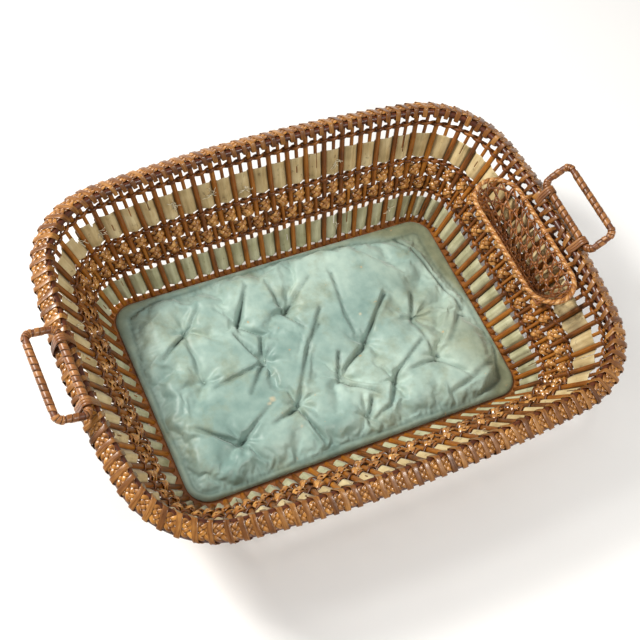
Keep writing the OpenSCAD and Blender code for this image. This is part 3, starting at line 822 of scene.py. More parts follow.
def wound(strands, at, start, end, radius, thickness, width, seed, drift=0.07):
    """A flat strip wound helically round a path from start to end, with edges that meet."""
    random = np.random.default_rng(seed)
    turns = max(1, round((end - start)/width))
    edges = np.concatenate([[0], np.cumsum(random.uniform(0.72, 1.25, turns + 1))])
    edges = start + edges/edges[-1]*(end - start)
    steps = 40
    tau = np.arange(turns*steps + 1)/steps
    # The strip's two edges are one helix a turn apart, so that neighbouring turns meet
    low = np.interp(tau, np.arange(turns + 2), edges)
    high = np.interp(tau + 1, np.arange(turns + 2), edges)
    joint = 0.16*MM
    share = np.array([0, 0.04, 0.16, 0.5, 0.84, 0.96, 1, 0.96, 0.5, 0.04])
    dome = np.array([-0.6, 0.55, 0.9, 1, 0.9, 0.55, -0.6, -1.4, -1.4, -1.4])
    s = (low + joint)[:, None] + (high - low - 2*joint)[:, None]*share
    lift = radius - 0.5*thickness*(1 - 0.5*dome[None]) - 0.15*thickness
    lift = lift*(1 + drift*0.25*np.sin(np.floor(tau)*2.3 + seed))[:, None]
    lift = np.minimum(lift, radius)
    angle = TAU*tau[:, None] + seed
    flat = s.ravel()
    point, away, normal = at(flat)
    ring = (away*np.cos(np.broadcast_to(angle, s.shape)).ravel()[:, None]
            + normal*np.sin(np.broadcast_to(angle, s.shape)).ravel()[:, None])
    rings = (point + ring*lift.ravel()[:, None]).reshape(s.shape + (3,))
    strands.rings(rings[:, ::-1], tone=0.5)
    tones = 0.5 + 0.4*np.sin(np.floor(tau)*12.9898 + seed)*np.cos(np.floor(tau)*4.1)
    strands.values["tone"][-1] = np.repeat(tones, s.shape[1]).astype(np.float32)
    # Darker along the joints between turns
    dark = np.where(np.isin(np.arange(10), (0, 1, 5, 6, 7, 8, 9)), -0.9, 0.5)[::-1]
    strands.values["depth"][-1] = np.tile(dark, s.shape[0]).astype(np.float32)


def handle(side, body):
    loop = Loop(side)
    e = loop.ends
    overlap = 0.4*MM
    parts = (
        ("_grip_wrap", "_grip_winding", [(e[4], e[5])], 4.75*MM, WRAP, "wrap_cane", 8.2*MM),
        ("_bar_wrap", "_bar_winding", [(-e[1], e[1])], 5.0*MM, WRAP, "wrap_cane", 8.6*MM),
        ("_arm_wraps", "_arm_windings", [(e[2], e[3]), (e[6], e[7])], 4.75*MM, WRAP, "wrap_cane",
         8.0*MM),
        ("_corner_bindings", "_corner_windings", [(e[n], e[n + 1]) for n in (1, 3, 5, 7)], 5.0*MM,
         CORNER, "dark_cane", 4.2*MM))
    for n, (part, name, stretches, radius, material, slot, width) in enumerate(parts):
        strands = Strands()
        for m, (start, end) in enumerate(stretches):
            wound(strands, loop.at, start - overlap, end + overlap, radius, 1.15*MM, width,
                  3 + 7*n + 2*m + (side == "right"))
        strands.build(side + name, material, side + part, body)


CORNER = cane("corner_cane", (80, 42, 14), (142, 88, 42), (194, 138, 80), 0.36, 0.15)
handle("left", "left_handle")
handle("right", "right_handle")


# ---------------------------------------------------------------- ties that hold the handles

def convex(points):
    """The convex hull of flat points, anticlockwise."""
    order = points[np.lexsort((points[:, 1], points[:, 0]))]
    chains = []
    for run in (order, order[::-1]):
        chain = []
        for p in run:
            while len(chain) > 1 and np.cross(chain[-1] - chain[-2], p - chain[-2]) <= 0:
                chain.pop()
            chain.append(p)
        chains.append(chain[:-1])
    return np.array(chains[0] + chains[1])


def resampled(points, count):
    """Evenly spaced points round a closed line."""
    closed = np.concatenate([points, points[:1]])
    run = run_along(closed)
    s = np.arange(count)/count*run[-1]
    return np.stack([np.interp(s, run, closed[:, i]) for i in range(points.shape[1])], -1)


def lash(ties, flat, y, section, tone):
    """Sweeps a cane round the closed line of (x, z) points flat, at y along the rim."""
    ahead = np.roll(flat, -1, 0) - np.roll(flat, 1, 0)
    outward = unit(np.stack([ahead[:, 1], np.zeros(len(flat)), -ahead[:, 0]], -1))
    path = np.stack([flat[:, 0], np.broadcast_to(y, len(flat)), flat[:, 1]], -1)
    ties.sweep(path, outward, section, closed=True, tone=tone)


def handle_ties(side):
    """Loops of cane that lash a handle's bar down on the rim."""
    sign = -1 if side == "left" else 1
    bar = np.mean([np.array(c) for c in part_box(side + "_bar_wrap")], 0)
    ties = Strands()
    loop = np.array(strap_loop())
    ring = bar[[0, 2]] + 6.0*MM*circle(np.arange(24)*TAU/24)
    for hand in (-1, 1):
        for turn, offset in enumerate((-3.1*MM, 0.0, 3.1*MM)):
            y = hand*37*MM + offset
            base = 0 if sign > 0 else wall.count/2
            ks = base + np.linspace(-6, 6, 400)
            at_y = wall.points(ks, rod_h)
            k0 = ks[np.argmin(np.abs(at_y[:, 1] - y))]
            point, _, out, _ = wall.at(np.full(len(loop), k0), loop[:, 1])
            section = point + out*(loop[:, :1]*1.06)
            hull = convex(np.concatenate([section[:, [0, 2]], ring]))
            flat = resampled(hull, 72)
            for _ in range(2):
                flat = (np.roll(flat, 1, 0) + 2*flat + np.roll(flat, -1, 0))/4
            low = np.clip((bar[2] - flat[:, 1])/(26*MM), 0, 1)**2
            gap_k = np.floor(ks[np.argmin(np.abs(at_y[:, 1] - hand*37*MM))]) + 0.5
            gap_y = wall.points(gap_k, rod_h - 1.5*rod_r)[1] + offset*0.45
            width = lerp(3.0*MM, 2.0*MM, low)
            section = split_cane(1.0, 0.9*MM)*np.stack([width, np.ones(len(flat))], -1)[:, None]
            lash(ties, flat, lerp(y, gap_y, low), section, 0.3 + 0.2*turn)
    ties.build(side + "_handle_lashings", CORNER, side + "_handle_ties")


handle_ties("left")
handle_ties("right")


# ---------------------------------------------------------------- pocket

def stadium(t, radius, straight):
    """A point on a stadium that lies along Y, and its outward normal; t goes round it from 0 to 1."""
    total = 4*straight + TAU*radius
    s = np.mod(t, 1)*total
    side = 2*straight
    turn = math.pi*radius
    a = np.where(s < side, 0, np.where(s < side + turn, (s - side)/radius,
                 np.where(s < 2*side + turn, math.pi, math.pi + (s - 2*side - turn)/radius)))
    y = np.where(s < side, s - straight, np.where(s < side + turn, straight,
                 np.where(s < 2*side + turn, straight - (s - side - turn), -straight)))
    out = circle(a)
    return np.stack([radius*out[..., 0], y + radius*out[..., 1]], -1), out


class Pocket:
    """The pocket's wall, from its rope rim to its narrow floor."""

    def __init__(self):
        rope, floor = (np.array(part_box(n)) for n in ("pocket_rope", "pocket_floor"))
        self.rope_r = (rope[1] - rope[0])[2]/2
        self.rim = rope.mean(0)
        self.rim_r = (rope[1] - rope[0])[0]/2 - self.rope_r
        self.straight = (rope[1] - rope[0])[1]/2 - self.rope_r - self.rim_r
        self.floor = floor.mean(0)
        self.floor_z = floor[0][2]
        self.floor_r = (floor[1] - floor[0])[0]/2 + 1.4*MM
        self.floor_straight = (floor[1] - floor[0])[1]/2 + 1.4*MM - self.floor_r

    def at(self, t, down):
        """Point and outward normal at t round the pocket and down, from 0 at the rim to 1 at the floor."""
        top, out_top = stadium(t, self.rim_r - 0.8*MM, self.straight)
        low, out_low = stadium(t, self.floor_r, self.floor_straight)
        level = np.ones(top.shape[:-1] + (1,))
        top = np.concatenate([top + self.rim[:2], level*(self.rim[2] - 1.0*MM)], -1)
        low = np.concatenate([low + self.floor[:2], level*(self.floor_z + 1.2*MM)], -1)
        d = np.asarray(down)[..., None]
        # The floor's corners turn sooner than the rim's, so points keep the rim's share of the way round
        out = unit(np.concatenate([lerp(out_top, out_low, d), 0*level], -1))
        slope = unit(top - low)
        out = unit(out - slope*(out*slope).sum(-1, keepdims=True))
        belly = 0.5*MM*np.sin(math.pi*np.clip(d, 0, 1))
        return lerp(top, low, d) + out*belly, out


pocket = Pocket()


def pocket_rope():
    """Two canes laid round each other for the pocket's rim."""
    rope = Strands()
    twists = 34
    n = 2200
    t = np.arange(n)/n
    flat, out = stadium(t, pocket.rim_r, pocket.straight)
    centre = np.concatenate([flat + pocket.rim[:2], np.full((n, 1), pocket.rim[2])], -1)
    out = np.concatenate([out, np.zeros((n, 1))], -1)
    for strand in range(2):
        a = TAU*(t*twists + strand/2)
        radial = out*np.cos(a)[:, None] + UP*np.sin(a)[:, None]
        path = centre + radial*(pocket.rope_r - 1.62*MM)
        rope.sweep(path, radial, oval(4.2*MM, 3.15*MM, 10, 0.9), closed=True, tone=0.25 + 0.5*strand)
    rope.build("pocket_twisted_rim", PALE_CANE, "pocket_rope")


def pocket_wall(cells=26):
    """Open cane work in three directions: rings round the pocket and canes that slant both ways."""
    weave_ = Strands()
    section = oval(3.0*MM, 0.85*MM, 6, 0.7)
    lift = 0.5*MM
    depth = np.linalg.norm(np.diff(pocket.at(np.array([0.1, 0.1]), np.array([0.0, 1.0]))[0], axis=0))
    girth = 4*pocket.straight + TAU*pocket.rim_r
    cell = girth/cells
    row = cell*math.sin(math.pi/3)
    rows = depth/row

    def swept(t, down, raised, closed, tone):
        point, out = pocket.at(t, down)
        # raised also paints shade where a cane dips under its neighbours.
        weave_.sweep(point + out*(lift*raised)[:, None], out, section, closed, tone, raised)

    for j in range(round(rows)):
        t = np.arange(1200)/1200
        raised = np.cos(TAU*(t*cells - j/2 - 0.25))
        swept(t, np.full(len(t), (j + 0.5)*row/depth), raised, True, rng.uniform(0.2, 0.8))
    down = np.linspace(0, 1, 64)
    for i in range(cells):
        for hand in (1, -1):
            t = i/cells + hand*down*depth/math.tan(math.pi/3)/girth
            raised = hand*np.cos(TAU*down*rows)
            swept(t, down, raised, False, rng.uniform(0.2, 0.8))
    # A cane round the foot of the wall joins it to the floor
    t = np.arange(600)/600
    point, out = pocket.at(t, np.full(600, 0.985))
    weave_.sweep(point, out, oval(2.6*MM, 2.2*MM, 8, 0.9), True, 0.4, 0.0)
    weave_.build("pocket_open_canework", POCKET_CANE, "pocket_wall")


def pocket_floor():
    """Three canes plaited along the narrow floor."""
    floor = Strands()
    reach = pocket.floor_straight + 0.6*pocket.floor_r
    y = np.linspace(-reach, reach, 420)
    periods = round(2*reach/(16*MM))
    for strand in range(3):
        turn = TAU*(periods*(y + reach)/(2*reach) + strand/3)
        path = np.stack([pocket.floor[0] + 1.5*MM*np.sin(turn), y,
                         pocket.floor_z + 1.3*MM + 0.6*MM*np.sin(2*turn)], -1)
        # depth paints shade where a strand dips under the others.
        floor.sweep(path, UP, oval(2.3*MM, 1.1*MM, 8, 0.8), False,
                    rng.uniform(0.2, 0.8), np.sin(2*turn))
    floor.build("pocket_plaited_floor", POCKET_CANE, "pocket_floor")


def pocket_ties():
    """Cane loops that hang the rope on the thick uprights behind it."""
    ties = Strands()
    h = (pocket.rim[2] - wall.low[0][2])/(wall.high[0] - wall.low[0])[2]*wall.height
    for k in (-4, 0, 4):
        upright = wall.points(float(k), h)
        rope_x = pocket.rim[0] + pocket.rim_r
        ring = circle(np.arange(32)*TAU/32)
        for turn in (-1, 1):
            about_rope = ring*(pocket.rope_r + 0.75*MM) + [rope_x, pocket.rim[2]]
            about_upright = ring*(thick_r + 0.75*MM) + [upright[0], pocket.rim[2]]
            flat = resampled(convex(np.concatenate([about_rope, about_upright])), 64)
            lash(ties, flat, upright[1] + turn*1.15*MM, split_cane(2.2*MM, 0.8*MM), 0.5 + 0.2*turn)
    ties.build("pocket_hanging_loops", PALE_CANE, "pocket_ties")


pocket_rope()
pocket_wall()
pocket_floor()
pocket_ties()


# ---------------------------------------------------------------- pad

def rounded_grid(half_l, half_w, corner, spacing):
    """A grid whose outer corners are rounded, as (columns, rows, 2), with its distance in from the edge."""
    nx, ny = round(2*half_l/spacing) + 1, round(2*half_w/spacing) + 1
    x, y = np.meshgrid(np.linspace(-half_l, half_l, nx), np.linspace(-half_w, half_w, ny), indexing="ij")
    a, b = np.abs(x) - (half_l - corner), np.abs(y) - (half_w - corner)
    inside = (a > 0) & (b > 0)
    largest, reach = np.maximum(a, b), np.hypot(a, b)
    scale = np.where(inside, largest/np.maximum(reach, 1e-9), 1)
    a2, b2 = a*scale, b*scale
    x = np.where(inside, np.sign(x)*(half_l - corner + a2), x)
    y = np.where(inside, np.sign(y)*(half_w - corner + b2), y)
    edge = np.where(inside, corner - largest, np.minimum(half_l - np.abs(x), half_w - np.abs(y)))
    return np.stack([x, y], -1), edge


def line_distance(points, line):
    """Distance from each point to a broken line, and the share of the way along it."""
    best = np.full(points.shape[:-1], 1e9)
    share = np.zeros(points.shape[:-1])
    count = len(line) - 1
    for i in range(count):
        a, b = line[i], line[i + 1]
        t = np.clip(((points - a) @ (b - a))/((b - a) @ (b - a)), 0, 1)
        d = np.linalg.norm(points - (a + t[..., None]*(b - a)), axis=-1)
        share = np.where(d < best, (i + t)/count, share)
        best = np.minimum(best, d)
    return best, share


# Folds that run between the tufts, from the middle of the pad
FOLDS = [np.array(line)*MM for line in (
    [(9, 23), (-10, 6), (-32, -24), (-44, -44), (-58, -65)], [(-58, -65), (-89, -74)],
    [(-58, -65), (-44, -108)], [(-88, 41), (-72, -1), (-134, -11)], [(-72, -1), (-100, -33)],
    [(-134, -83), (-79, -48)], [(-134, -83), (-171, -50)], [(-134, -83), (-113, -108)],
    [(15, -18), (2, -49), (39, -80)], [(70, -63), (44, -97), (14, -108)], [(27, -83), (12, -108)],
    [(52, 81), (44, 25), (48, -18)], [(100, 35), (48, -18), (14, -37)],
    [(134, 27), (119, -5), (121, -61)], [(121, -63), (86, -66)], [(121, -63), (146, -88)],
    [(115, -36), (67, -65), (43, -99)], [(184, -20), (178, -17), (148, -48)], [(184, -87), (119, -108)],
    [(155, 108), (171, 63), (186, -9)], [(-142, 61), (-113, 88)], [(-142, 61), (-174, 40)],
    [(-142, 61), (-141, 1)], [(-79, 54), (-50, 99)], [(-79, 54), (-58, 34), (-74, 2)],
    [(-22, 52), (-24, 92)], [(-22, 52), (24, 85)], [(-22, 52), (-9, 25)],
    [(19, 42), (-12, 4), (-39, -36)], [(-87, 42), (-72, -2)])]


def tuft_points():
    """The middles of the CAD tufts, in the pad's plane."""
    return np.array([p.mean(0) for p in islands("pad_tufts")])[:, :2]


def blown(name, points, quads, pins, frames=22, growth=0.1, pressure=3.0):
    """Swells a sheet that is held at its pins by cloth simulation, and returns where its points end up."""
    mesh = new_mesh(name, points, quads.ravel(), np.full(len(quads), 4), {})
    cloth_object = bpy.data.objects.new(name, mesh)
    scene = bpy.context.scene
    scene.collection.objects.link(cloth_object)
    group = cloth_object.vertex_groups.new(name="pins")
    for level in np.unique(pins[pins > 0]):
        group.add(np.flatnonzero(pins == level).tolist(), float(level), "REPLACE")
    cloth = cloth_object.modifiers.new("cloth", "CLOTH")
    s = cloth.settings
    s.quality = 6
    s.mass = 0.15
    s.tension_stiffness = s.compression_stiffness = 18
    s.shear_stiffness = 6
    s.bending_stiffness = 0.12
    s.tension_damping = s.compression_damping = 8
    s.air_damping = 2
    s.vertex_group_mass = "pins"
    s.pin_stiffness = 1
    s.use_pressure = True
    s.uniform_pressure_force = pressure
    s.shrink_min = s.shrink_max = -growth
    s.effector_weights.gravity = 0
    cloth.collision_settings.use_collision = False
    cloth.point_cache.frame_start = scene.frame_start = 1
    cloth.point_cache.frame_end = scene.frame_end = frames
    for number in range(1, frames + 1):
        scene.frame_set(number)
    result = cloth_object.evaluated_get(bpy.context.evaluated_depsgraph_get())
    ended = np.empty(len(points)*3, np.float32)
    result.data.vertices.foreach_get("co", ended)
    scene.frame_set(1)
    bpy.data.objects.remove(cloth_object)
    bpy.data.meshes.remove(mesh)
    return ended.reshape(-1, 3).astype(float)


def sateen(name):
    """Faded blue-green cotton sateen, stained tan along the border and near the pocket."""
    s = Shader(name, 0.46, **{"Sheen Weight": 0.35, "Sheen Roughness": 0.35, "Specular IOR Level": 0.35})
    place_ = s.object_point()
    blotches = s.noise(place_, 9.0, 4.0, 0.62)
    fine = s.noise(place_, 60.0, 4.0, 0.6)
    colour = s.ramp(s.math("MULTIPLY_ADD", blotches, 0.75, s.math("MULTIPLY", fine, 0.25)),
                    [(0.35, srgb(118, 146, 139)), (0.5, srgb(147, 172, 163)),
                     (0.64, srgb(174, 196, 184))])
    drab = s.ramp(fine, [(0.3, srgb(112, 120, 96)), (0.7, srgb(146, 150, 120))])
    colour = s.mix(s.attribute("tone"), colour, drab)
    stains = s.noise(place_, 24.0, 5.0, 0.65)
    colour = s.mix(s.remap(stains, 0.5, 0.7, 0.0, 0.6), colour, drab)
    # Painted shade: darker in the creases, in the tufts' dimples and along the seam stitching.
    colour = s.mix(s.math("MULTIPLY", s.attribute("depth"), 0.85), colour, srgb(54, 72, 62))
    # A few cream rubbed spots, and rust flecks
    flecks = s.noise(place_, 95.0, 2.0, 0.5)
    colour = s.mix(s.remap(flecks, 0.735, 0.78, 0.0, 0.6), colour, srgb(198, 160, 112))
    colour = s.mix(s.attribute("across"), colour, srgb(216, 204, 172))
    warp = s.waves(place_, 900.0, "X")
    weft = s.waves(place_, 420.0, "Y")
    thread = s.bump(s.math("ADD", warp, weft), 0.08, 0.05*MM)
    slub = s.noise(place_, 320.0, 3.0, 0.6)
    crumple = s.node("Mapping", {"Vector": place_, "Rotation": (0, 0, 0.5), "Scale": (1.0, 0.45, 1.0)})
    normal = s.bump(s.noise(place_, 70.0, 3.0, 0.55), 0.3, 1.0*MM, s.bump(slub, 0.14, 0.2*MM, thread))
    normal = s.bump(s.noise(crumple, 42.0, 2.0, 0.5), 0.35, 2.6*MM, normal)
    rough = s.remap(blotches, 0.35, 0.65, 0.4, 0.56)
    return s.done(colour, normal, rough)


def closed_pad(name, top, base, values, material, nodes):
    """A pad with top and base surfaces over one grid, closed all round."""
    nx, ny = top.shape[:2]
    number = np.arange(nx*ny).reshape(nx, ny)
    quads = sheet_quads(nx, ny)
    rim = np.concatenate([number[:-1, 0], number[-1, :-1], number[:0:-1, -1], number[0, :0:-1]])
    points = np.concatenate([top.reshape(-1, 3), base.reshape(-1, 3)])
    after = np.roll(rim, -1)
    side = np.stack([rim, rim + nx*ny, after + nx*ny, after], -1)
    quads = np.concatenate([quads, quads[:, ::-1] + nx*ny, side])
    values = {key: np.concatenate([v.ravel(), v.ravel()]) for key, v in values.items()}
    mesh = new_mesh(name, points, quads.ravel(), np.full(len(quads), 4), values)
    return place(bpy.data.objects.new(name, mesh), material, nodes, "pad")


def bared_corners(flat):
    """1 where the stitched border shows, at three corners. Elsewhere the filling has crept over it."""
    x, y = flat[..., 0], flat[..., 1]
    return np.maximum(smooth(x, 0.06, 0.16)*smooth(y, -0.02, 0.07),
                      np.maximum(0.9*smooth(x, 0.14, 0.19)*smooth(-y, 0.06, 0.11),
                                 0.75*smooth(-x, 0.14, 0.19)*smooth(y, 0.05, 0.11)))


def fold_valleys(flat):
    """Shallow valleys in the starting sheet, where its folds will form."""
    valleys = np.zeros(flat.shape[:2])
    for n, line in enumerate(FOLDS):
        d, share = line_distance(flat, line)
        strength = (0.55 + 0.45*math.sin(2.7*n)**2)*(1 - 0.45*share)
        valleys = np.maximum(valleys, strength*np.exp(-(d/(4.2*MM))**2))
    return valleys


def tuft_rays(flat, tufts):
    """Wrinkles that radiate from each tuft."""
    rays = np.zeros(flat.shape[:2])
    for n, tuft in enumerate(tufts):
        dx, dy = flat[..., 0] - tuft[0], flat[..., 1] - tuft[1]
        turn = np.arctan2(dy, dx)
        ring = np.exp(-((np.hypot(dx, dy) - 12*MM)/(9*MM))**2)
        rays += np.cos((5 + n % 3)*turn + 1.7*n + 0.8*np.sin(2*turn + n))*ring
    return rays


def rolling_hills(flat):
    """A slow uneven swell of the whole pad."""
    waves = ((0.4, 95, 60), (1.9, -60, 110), (3.1, 140, -90), (4.4, 35, 130), (5.2, -120, 75),
             (0.9, 70, -150))
    return sum(math.cos(a)*np.sin(flat[..., 0]*f + flat[..., 1]*g + a) for a, f, g in waves)


def fold_creases(points):
    """How sharply each point is creased by a fold, and how far it stands up in a ridge beside one."""
    sharp = np.zeros(points.shape[:2])
    lips = np.zeros(points.shape[:2])
    for n, line in enumerate(FOLDS):
        d, share = line_distance(points, line)
        strength = (0.5 + 0.5*math.sin(1.7*n + 0.6)**2)*(1 - 0.5*share)
        sharp = np.maximum(sharp, strength*np.exp(-d/(1.5*MM)))
        # The cloth stands up in a ridge along one side of each fold, and hardly on the other
        along = unit(line[-1] - line[0])
        aside = np.array([-along[1], along[0]])
        aside = aside*np.sign(aside @ np.array([-0.77, 0.64]))
        ridge = line_distance(points, line + aside*4.5*MM)[0]
        lips = np.maximum(lips, strength*np.exp(-(ridge/(2.9*MM))**2))
        lips = np.maximum(lips, 0.25*strength*np.exp(-((d - 5*MM)/(2.6*MM))**2))
    return sharp, lips


def pad_stains(flat, edge, seam, corner):
    """How drab each point has gone, on the border and the pocket's side, and its cream rubbed spots."""
    x, y = flat[..., 0], flat[..., 1]
    drab = np.clip(0.8*(1 - smooth(edge, 2*MM, seam*1.4))*(0.45 + 0.55*corner)
                   + 0.75*smooth(x, 0.07, 0.2)*(0.6 + 0.4*np.sin(x*60 + y*35)), 0, 1)
    spots = np.zeros(flat.shape[:2])
    for sx, sy, r in ((-19, 42, 2.6), (-17, 37, 1.6), (-83, -46, 3.6), (-88, -50, 2.0),
                      (-64, -88, 1.8), (60, 20, 1.4)):
        d = np.hypot(x/MM - sx, (y/MM - sy)*1.5)
        spots = np.maximum(spots, np.exp(-(d/r)**4))
    return drab, spots*0.8


def pad():
    border, backing = (np.array(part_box(n)) for n in ("pad_border", "pad_backing"))
    cover = np.array(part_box("pad_cover"))
    half_l, half_w = border[1][:2] - 0.6*MM
    base_z = border[0][2] + 0.1*MM
    seam = border[1][0] - backing[1][0]
    flat, edge = rounded_grid(half_l, half_w, 25*MM, 2.3*MM)
    nx, ny = flat.shape[:2]
    corner = bared_corners(flat)
    uneven = 0.5 + 0.5*np.sin(flat[..., 0]*47 + flat[..., 1]*61)*np.cos(flat[..., 0]*23 - flat[..., 1]*31)
    seam = seam*lerp(0.26 + 0.3*uneven, 1.1, corner)
    tufts = tuft_points()
    near_tuft = np.linalg.norm(flat[:, :, None] - tufts, axis=-1).min(-1)
    # The sheet starts as a low crown inside a wide, slack border, puckered by its stitching
    crown = smooth(edge, seam, seam + 30*MM)
    rays = tuft_rays(flat, tufts)
    dimple = np.exp(-(near_tuft/(11*MM))**2)
    rise = crown*(8.5*MM + 0.9*MM*rolling_hills(flat) + 0.9*MM*rays - 5.0*MM*fold_valleys(flat)
                  - 5.0*MM*dimple)
    thick = lerp(6.0*MM, 2.4*MM, corner)
    hem = np.sqrt(np.clip(edge/(6*MM), 0, 1)*(2 - np.clip(edge/(6*MM), 0, 1)))
    run = np.arctan2(flat[..., 1], flat[..., 0])
    pucker = np.sin(run*46 + 1.3*np.sin(run*9))*0.5*MM + np.sin(run*17 + edge*90)*0.5*MM
    slack = smooth(edge, 2*MM, 7*MM)*(1 - smooth(edge, seam - 3*MM, seam))
    start_z = base_z + thick*(0.35 + 0.65*hem) + pucker*slack + rise
    start = np.concatenate([flat, start_z[..., None]], -1)
    pins = np.zeros((nx, ny))
    pins[edge < seam - 1.5*MM] = 1
    pins[np.abs(edge - seam) < 1.8*MM] = 0.9
    pins[near_tuft < 3.4*MM] = 1
    ended = blown("pad_cloth", start.reshape(-1, 3), sheet_quads(nx, ny), pins.ravel())
    # No point moves farther than this in the simulation
    furthest = 11*MM
    move = ended.reshape(nx, ny, 3) - start
    size = np.linalg.norm(move, axis=-1, keepdims=True)
    top = start + move*np.minimum(1, furthest/np.maximum(size, 1e-9))
    # The crown stays under the CAD crown's top, and flattens gently over the last millimetres
    gentle = 4*MM
    over = np.maximum(top[..., 2] - (cover[1][2] - gentle), 0)
    top[..., 2] -= over - gentle*(1 - np.exp(-over/gentle))
    # Stitches draw the sheet down to each tuft, along the folds and along the seam
    top[..., 2] -= 1.6*MM*np.exp(-(near_tuft/(3.2*MM))**2)
    sharp, lips = fold_creases(top[..., :2])
    top[..., 2] += (2.4*lips + 0.4*rays - 3.1*sharp)*MM*crown**0.5
    stitch = np.exp(-((edge - seam)/(1.9*MM))**2)
    top[..., 2] -= 1.0*MM*stitch
    top[..., 2] = np.maximum(top[..., 2], base_z + 1.0*MM)
    inner = smooth(edge, seam - 1*MM, seam + 0.5*MM)
    base = np.concatenate([flat, (base_z + 1.0*MM*inner)[..., None]], -1)
    base[..., 2] = np.minimum(base[..., 2], top[..., 2] - 0.5*MM)
    drab, spots = pad_stains(flat, edge, seam, corner)
    shade = sharp*1.5 + 0.7*np.exp(-(near_tuft/(3.0*MM))**2) + 0.5*stitch
    values = {"tone": drab, "depth": np.clip(shade, 0, 1), "across": spots,
              "along": np.zeros((nx, ny))}
    piece = closed_pad("pad_sateen_cover", top, base, values, SATEEN,
                       ["pad_cover", "pad_filling", "pad_border"])
    finer = piece.modifiers.new("finer", "SUBSURF")
    finer.levels = finer.render_levels = 1
    return top, flat


def pad_backing():
    """The lining under the crown, a plain cloth that lies on the floor reeds."""
    box = np.array(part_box("pad_backing"))
    half_l, half_w = box[1][:2] - 0.4*MM
    flat, _ = rounded_grid(half_l, half_w, 14*MM, 6*MM)
    z = box[0][2] + 0.25*MM + 0.12*MM*np.sin(flat[..., 0]*90)*np.cos(flat[..., 1]*70)
    sheet_points = np.concatenate([flat, z[..., None]], -1).reshape(-1, 3)
    quads = sheet_quads(*flat.shape[:2])
    mesh = new_mesh("pad_lining", sheet_points, quads.ravel(), np.full(len(quads), 4), {})
    piece = place(bpy.data.objects.new("pad_lining", mesh), LINEN, "pad_backing", "pad")
    thicken(piece, CLOTH_THICKNESS)


def tuft_knots(top, flat):
    """A small knot of thread in each dimple of the pad."""
    knots = Strands()
    random = np.random.default_rng(21)
    for tuft in tuft_points():
        d = np.linalg.norm(flat - tuft, axis=-1)
        z = top[..., 2][d < 4*MM].min() if (d < 4*MM).any() else top[..., 2].ravel()[d.argmin()]
        centre = np.array([tuft[0], tuft[1], z + 0.5*MM])
        turn = random.uniform(0, math.pi)
        for a in (turn, turn + math.pi/2):
            t = np.linspace(-1, 1, 9)[:, None]
            way = np.array([math.cos(a), math.sin(a), 0])
            path = centre + way*t*2.0*MM + UP*(0.9*MM*(1 - t**2))
            knots.sweep(path, UP, oval(0.9*MM, 0.8*MM, 6, 1.0),
                        tone=random.uniform(0, 1))
        t = np.linspace(0, 1, 8)[:, None]
        for a in random.uniform(0, TAU, 2):
            way = np.array([math.cos(a), math.sin(a), 0])
            path = centre + 0.9*MM*UP + way*t*4.2*MM + UP*(1.5*t - 2.0*t**2)*MM
            knots.sweep(path, UP, oval(0.5*MM, 0.45*MM, 5, 1.0),
                        tone=random.uniform(0, 1))
    knots.build("pad_tuft_knots", THREAD, "pad_tufts", "pad")


def plain_cloth(name, dark, light, scale):
    """Plain woven cloth or thread, for pieces that carry no strand values."""
    dark, light = srgb(*dark), srgb(*light)
    s = Shader(name, 0.8, **{"Sheen Weight": 0.2})
    place_ = s.object_point()
    tone = s.noise(place_, 40.0, 4.0, 0.6)
    colour = s.ramp(tone, [(0.3, dark), (0.7, light)])
    warp = s.waves(place_, scale, "X")
    weft = s.waves(place_, scale, "Y")
    return s.done(colour, s.bump(s.math("MULTIPLY", warp, weft), 0.4, 0.2*MM))


SATEEN = sateen("sateen")
LINEN = plain_cloth("wadding_lining", (176, 160, 124), (206, 192, 158), 300.0)
THREAD = plain_cloth("tuft_thread", (120, 150, 138), (166, 190, 176), 700.0)
pad_top, pad_flat = pad()
tuft_knots(pad_top, pad_flat)
pad_backing()


# ---------------------------------------------------------------- the base

def timber(name, dark, middle, light, stretch, roughness=0.5):
    """Wood or reed of a CAD part, with its grain along the stretched direction."""
    dark, middle, light = (srgb(*colour) for colour in (dark, middle, light))
    s = Shader(name, roughness, **{"Coat Weight": 0.08, "Coat Roughness": 0.3})
    place_ = s.node("Mapping", {"Vector": s.object_point(), "Scale": stretch}, vector_type="POINT")
    grain = s.noise(place_, 1.0, 4.0, 0.6)
    blotches = s.noise(s.object_point(), 30.0, 3.0, 0.6)
    colour = s.ramp(s.math("MULTIPLY_ADD", grain, 0.75, s.math("MULTIPLY", blotches, 0.3)),
                    [(0.3, dark), (0.52, middle), (0.75, light)])
    rough = s.remap(grain, 0.3, 0.7, roughness*0.85, roughness*1.2)
    return s.done(colour, s.bump(grain, 0.4, 0.3*MM), rough)


def repaint(node, material):
    """Gives a CAD part that keeps its own shape a finished material."""
    data = NODES[node].data
    data.materials.clear()
    data.materials.append(material)


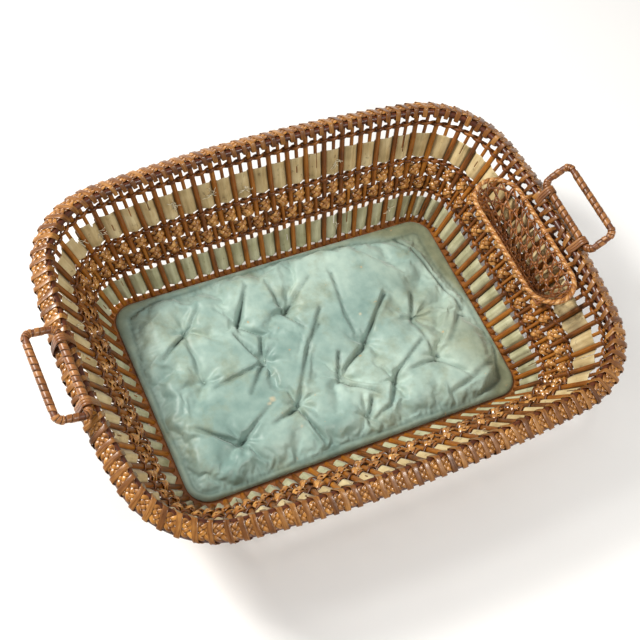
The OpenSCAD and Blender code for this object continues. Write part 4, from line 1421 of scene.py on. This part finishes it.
HOOP = timber("hoop_wood", (92, 50, 18), (140, 84, 36), (176, 116, 58), (60, 60, 420))
LONG_REED = timber("floor_reed", (110, 60, 20), (160, 98, 44), (196, 138, 76), (18, 500, 500))
CROSS_REED = timber("spoke_reed", (104, 56, 18), (152, 92, 40), (190, 132, 70), (500, 18, 500))
LATH_WOOD = timber("lath_wood", (128, 96, 58), (170, 134, 90), (200, 168, 122), (12, 260, 400), 0.62)
CORE = timber("core_rod", (60, 26, 10), (104, 56, 24), (140, 84, 40), (300, 25, 300))
for node_name, material_ in (("base_hoop", HOOP), ("floor_reeds", LONG_REED), ("floor_spokes", CROSS_REED),
                             ("base_laths", LATH_WOOD), ("left_core", CORE), ("right_core", CORE)):
    repaint(node_name, material_)


# ---------------------------------------------------------------- studio

def studio():
    bpy.ops.mesh.primitive_plane_add(size=12, location=(0, 0, -0.0004))
    floor = bpy.context.object
    floor.name = "floor"
    s = Shader("floor", 0.6)
    tint = s.noise(s.object_point(), 3.0)
    floor.data.materials.append(s.done(s.mix(tint, (0.93, 0.93, 0.93, 1), (0.96, 0.96, 0.96, 1))))
    world = bpy.data.worlds.new("studio")
    bpy.context.scene.world = world
    world.use_nodes = True
    world.node_tree.nodes["Background"].inputs["Color"].default_value = (1, 0.99, 0.97, 1)
    world.node_tree.nodes["Background"].inputs["Strength"].default_value = 0.4
    # Each lamp's place in metres, width in metres and power in watts
    for name, place_, size, power in (
            ("key", (-1.15, 0.95, 1.35), 0.45, 46),
            ("glint", (0.45, -0.95, 1.15), 0.14, 9),
            ("fill", (1.2, -1.6, 1.6), 2.4, 6)):
        light = bpy.data.lights.new(name, "AREA")
        light.energy = power
        light.size = size
        light.color = (1, 0.97, 0.92)
        lamp = bpy.data.objects.new(name, light)
        lamp.location = place_
        lamp.rotation_euler = (-Vector(place_)).to_track_quat("-Z", "Y").to_euler()
        bpy.context.scene.collection.objects.link(lamp)


def camera():
    """A long view from above the front left corner, tipped a little clockwise. Its lens, axes and
    place were fitted to the outlines of the rim and the pad in the photo."""
    data = bpy.data.cameras.new("camera")
    data.lens = 67.85
    data.sensor_width = 36
    data.clip_start = 0.05
    right = Vector((0.89405, -0.41670, 0.16445))
    up = Vector((0.28727, 0.81497, 0.50329))
    axes = Matrix((right, up, right.cross(up))).transposed().to_4x4()
    view = bpy.data.objects.new("camera", data)
    view.matrix_world = Matrix.Translation((-0.4648, -0.5315, 1.2083)) @ axes
    bpy.context.scene.collection.objects.link(view)
    bpy.context.scene.camera = view


studio()
camera()
bpy.context.scene.view_settings.view_transform = "Standard"
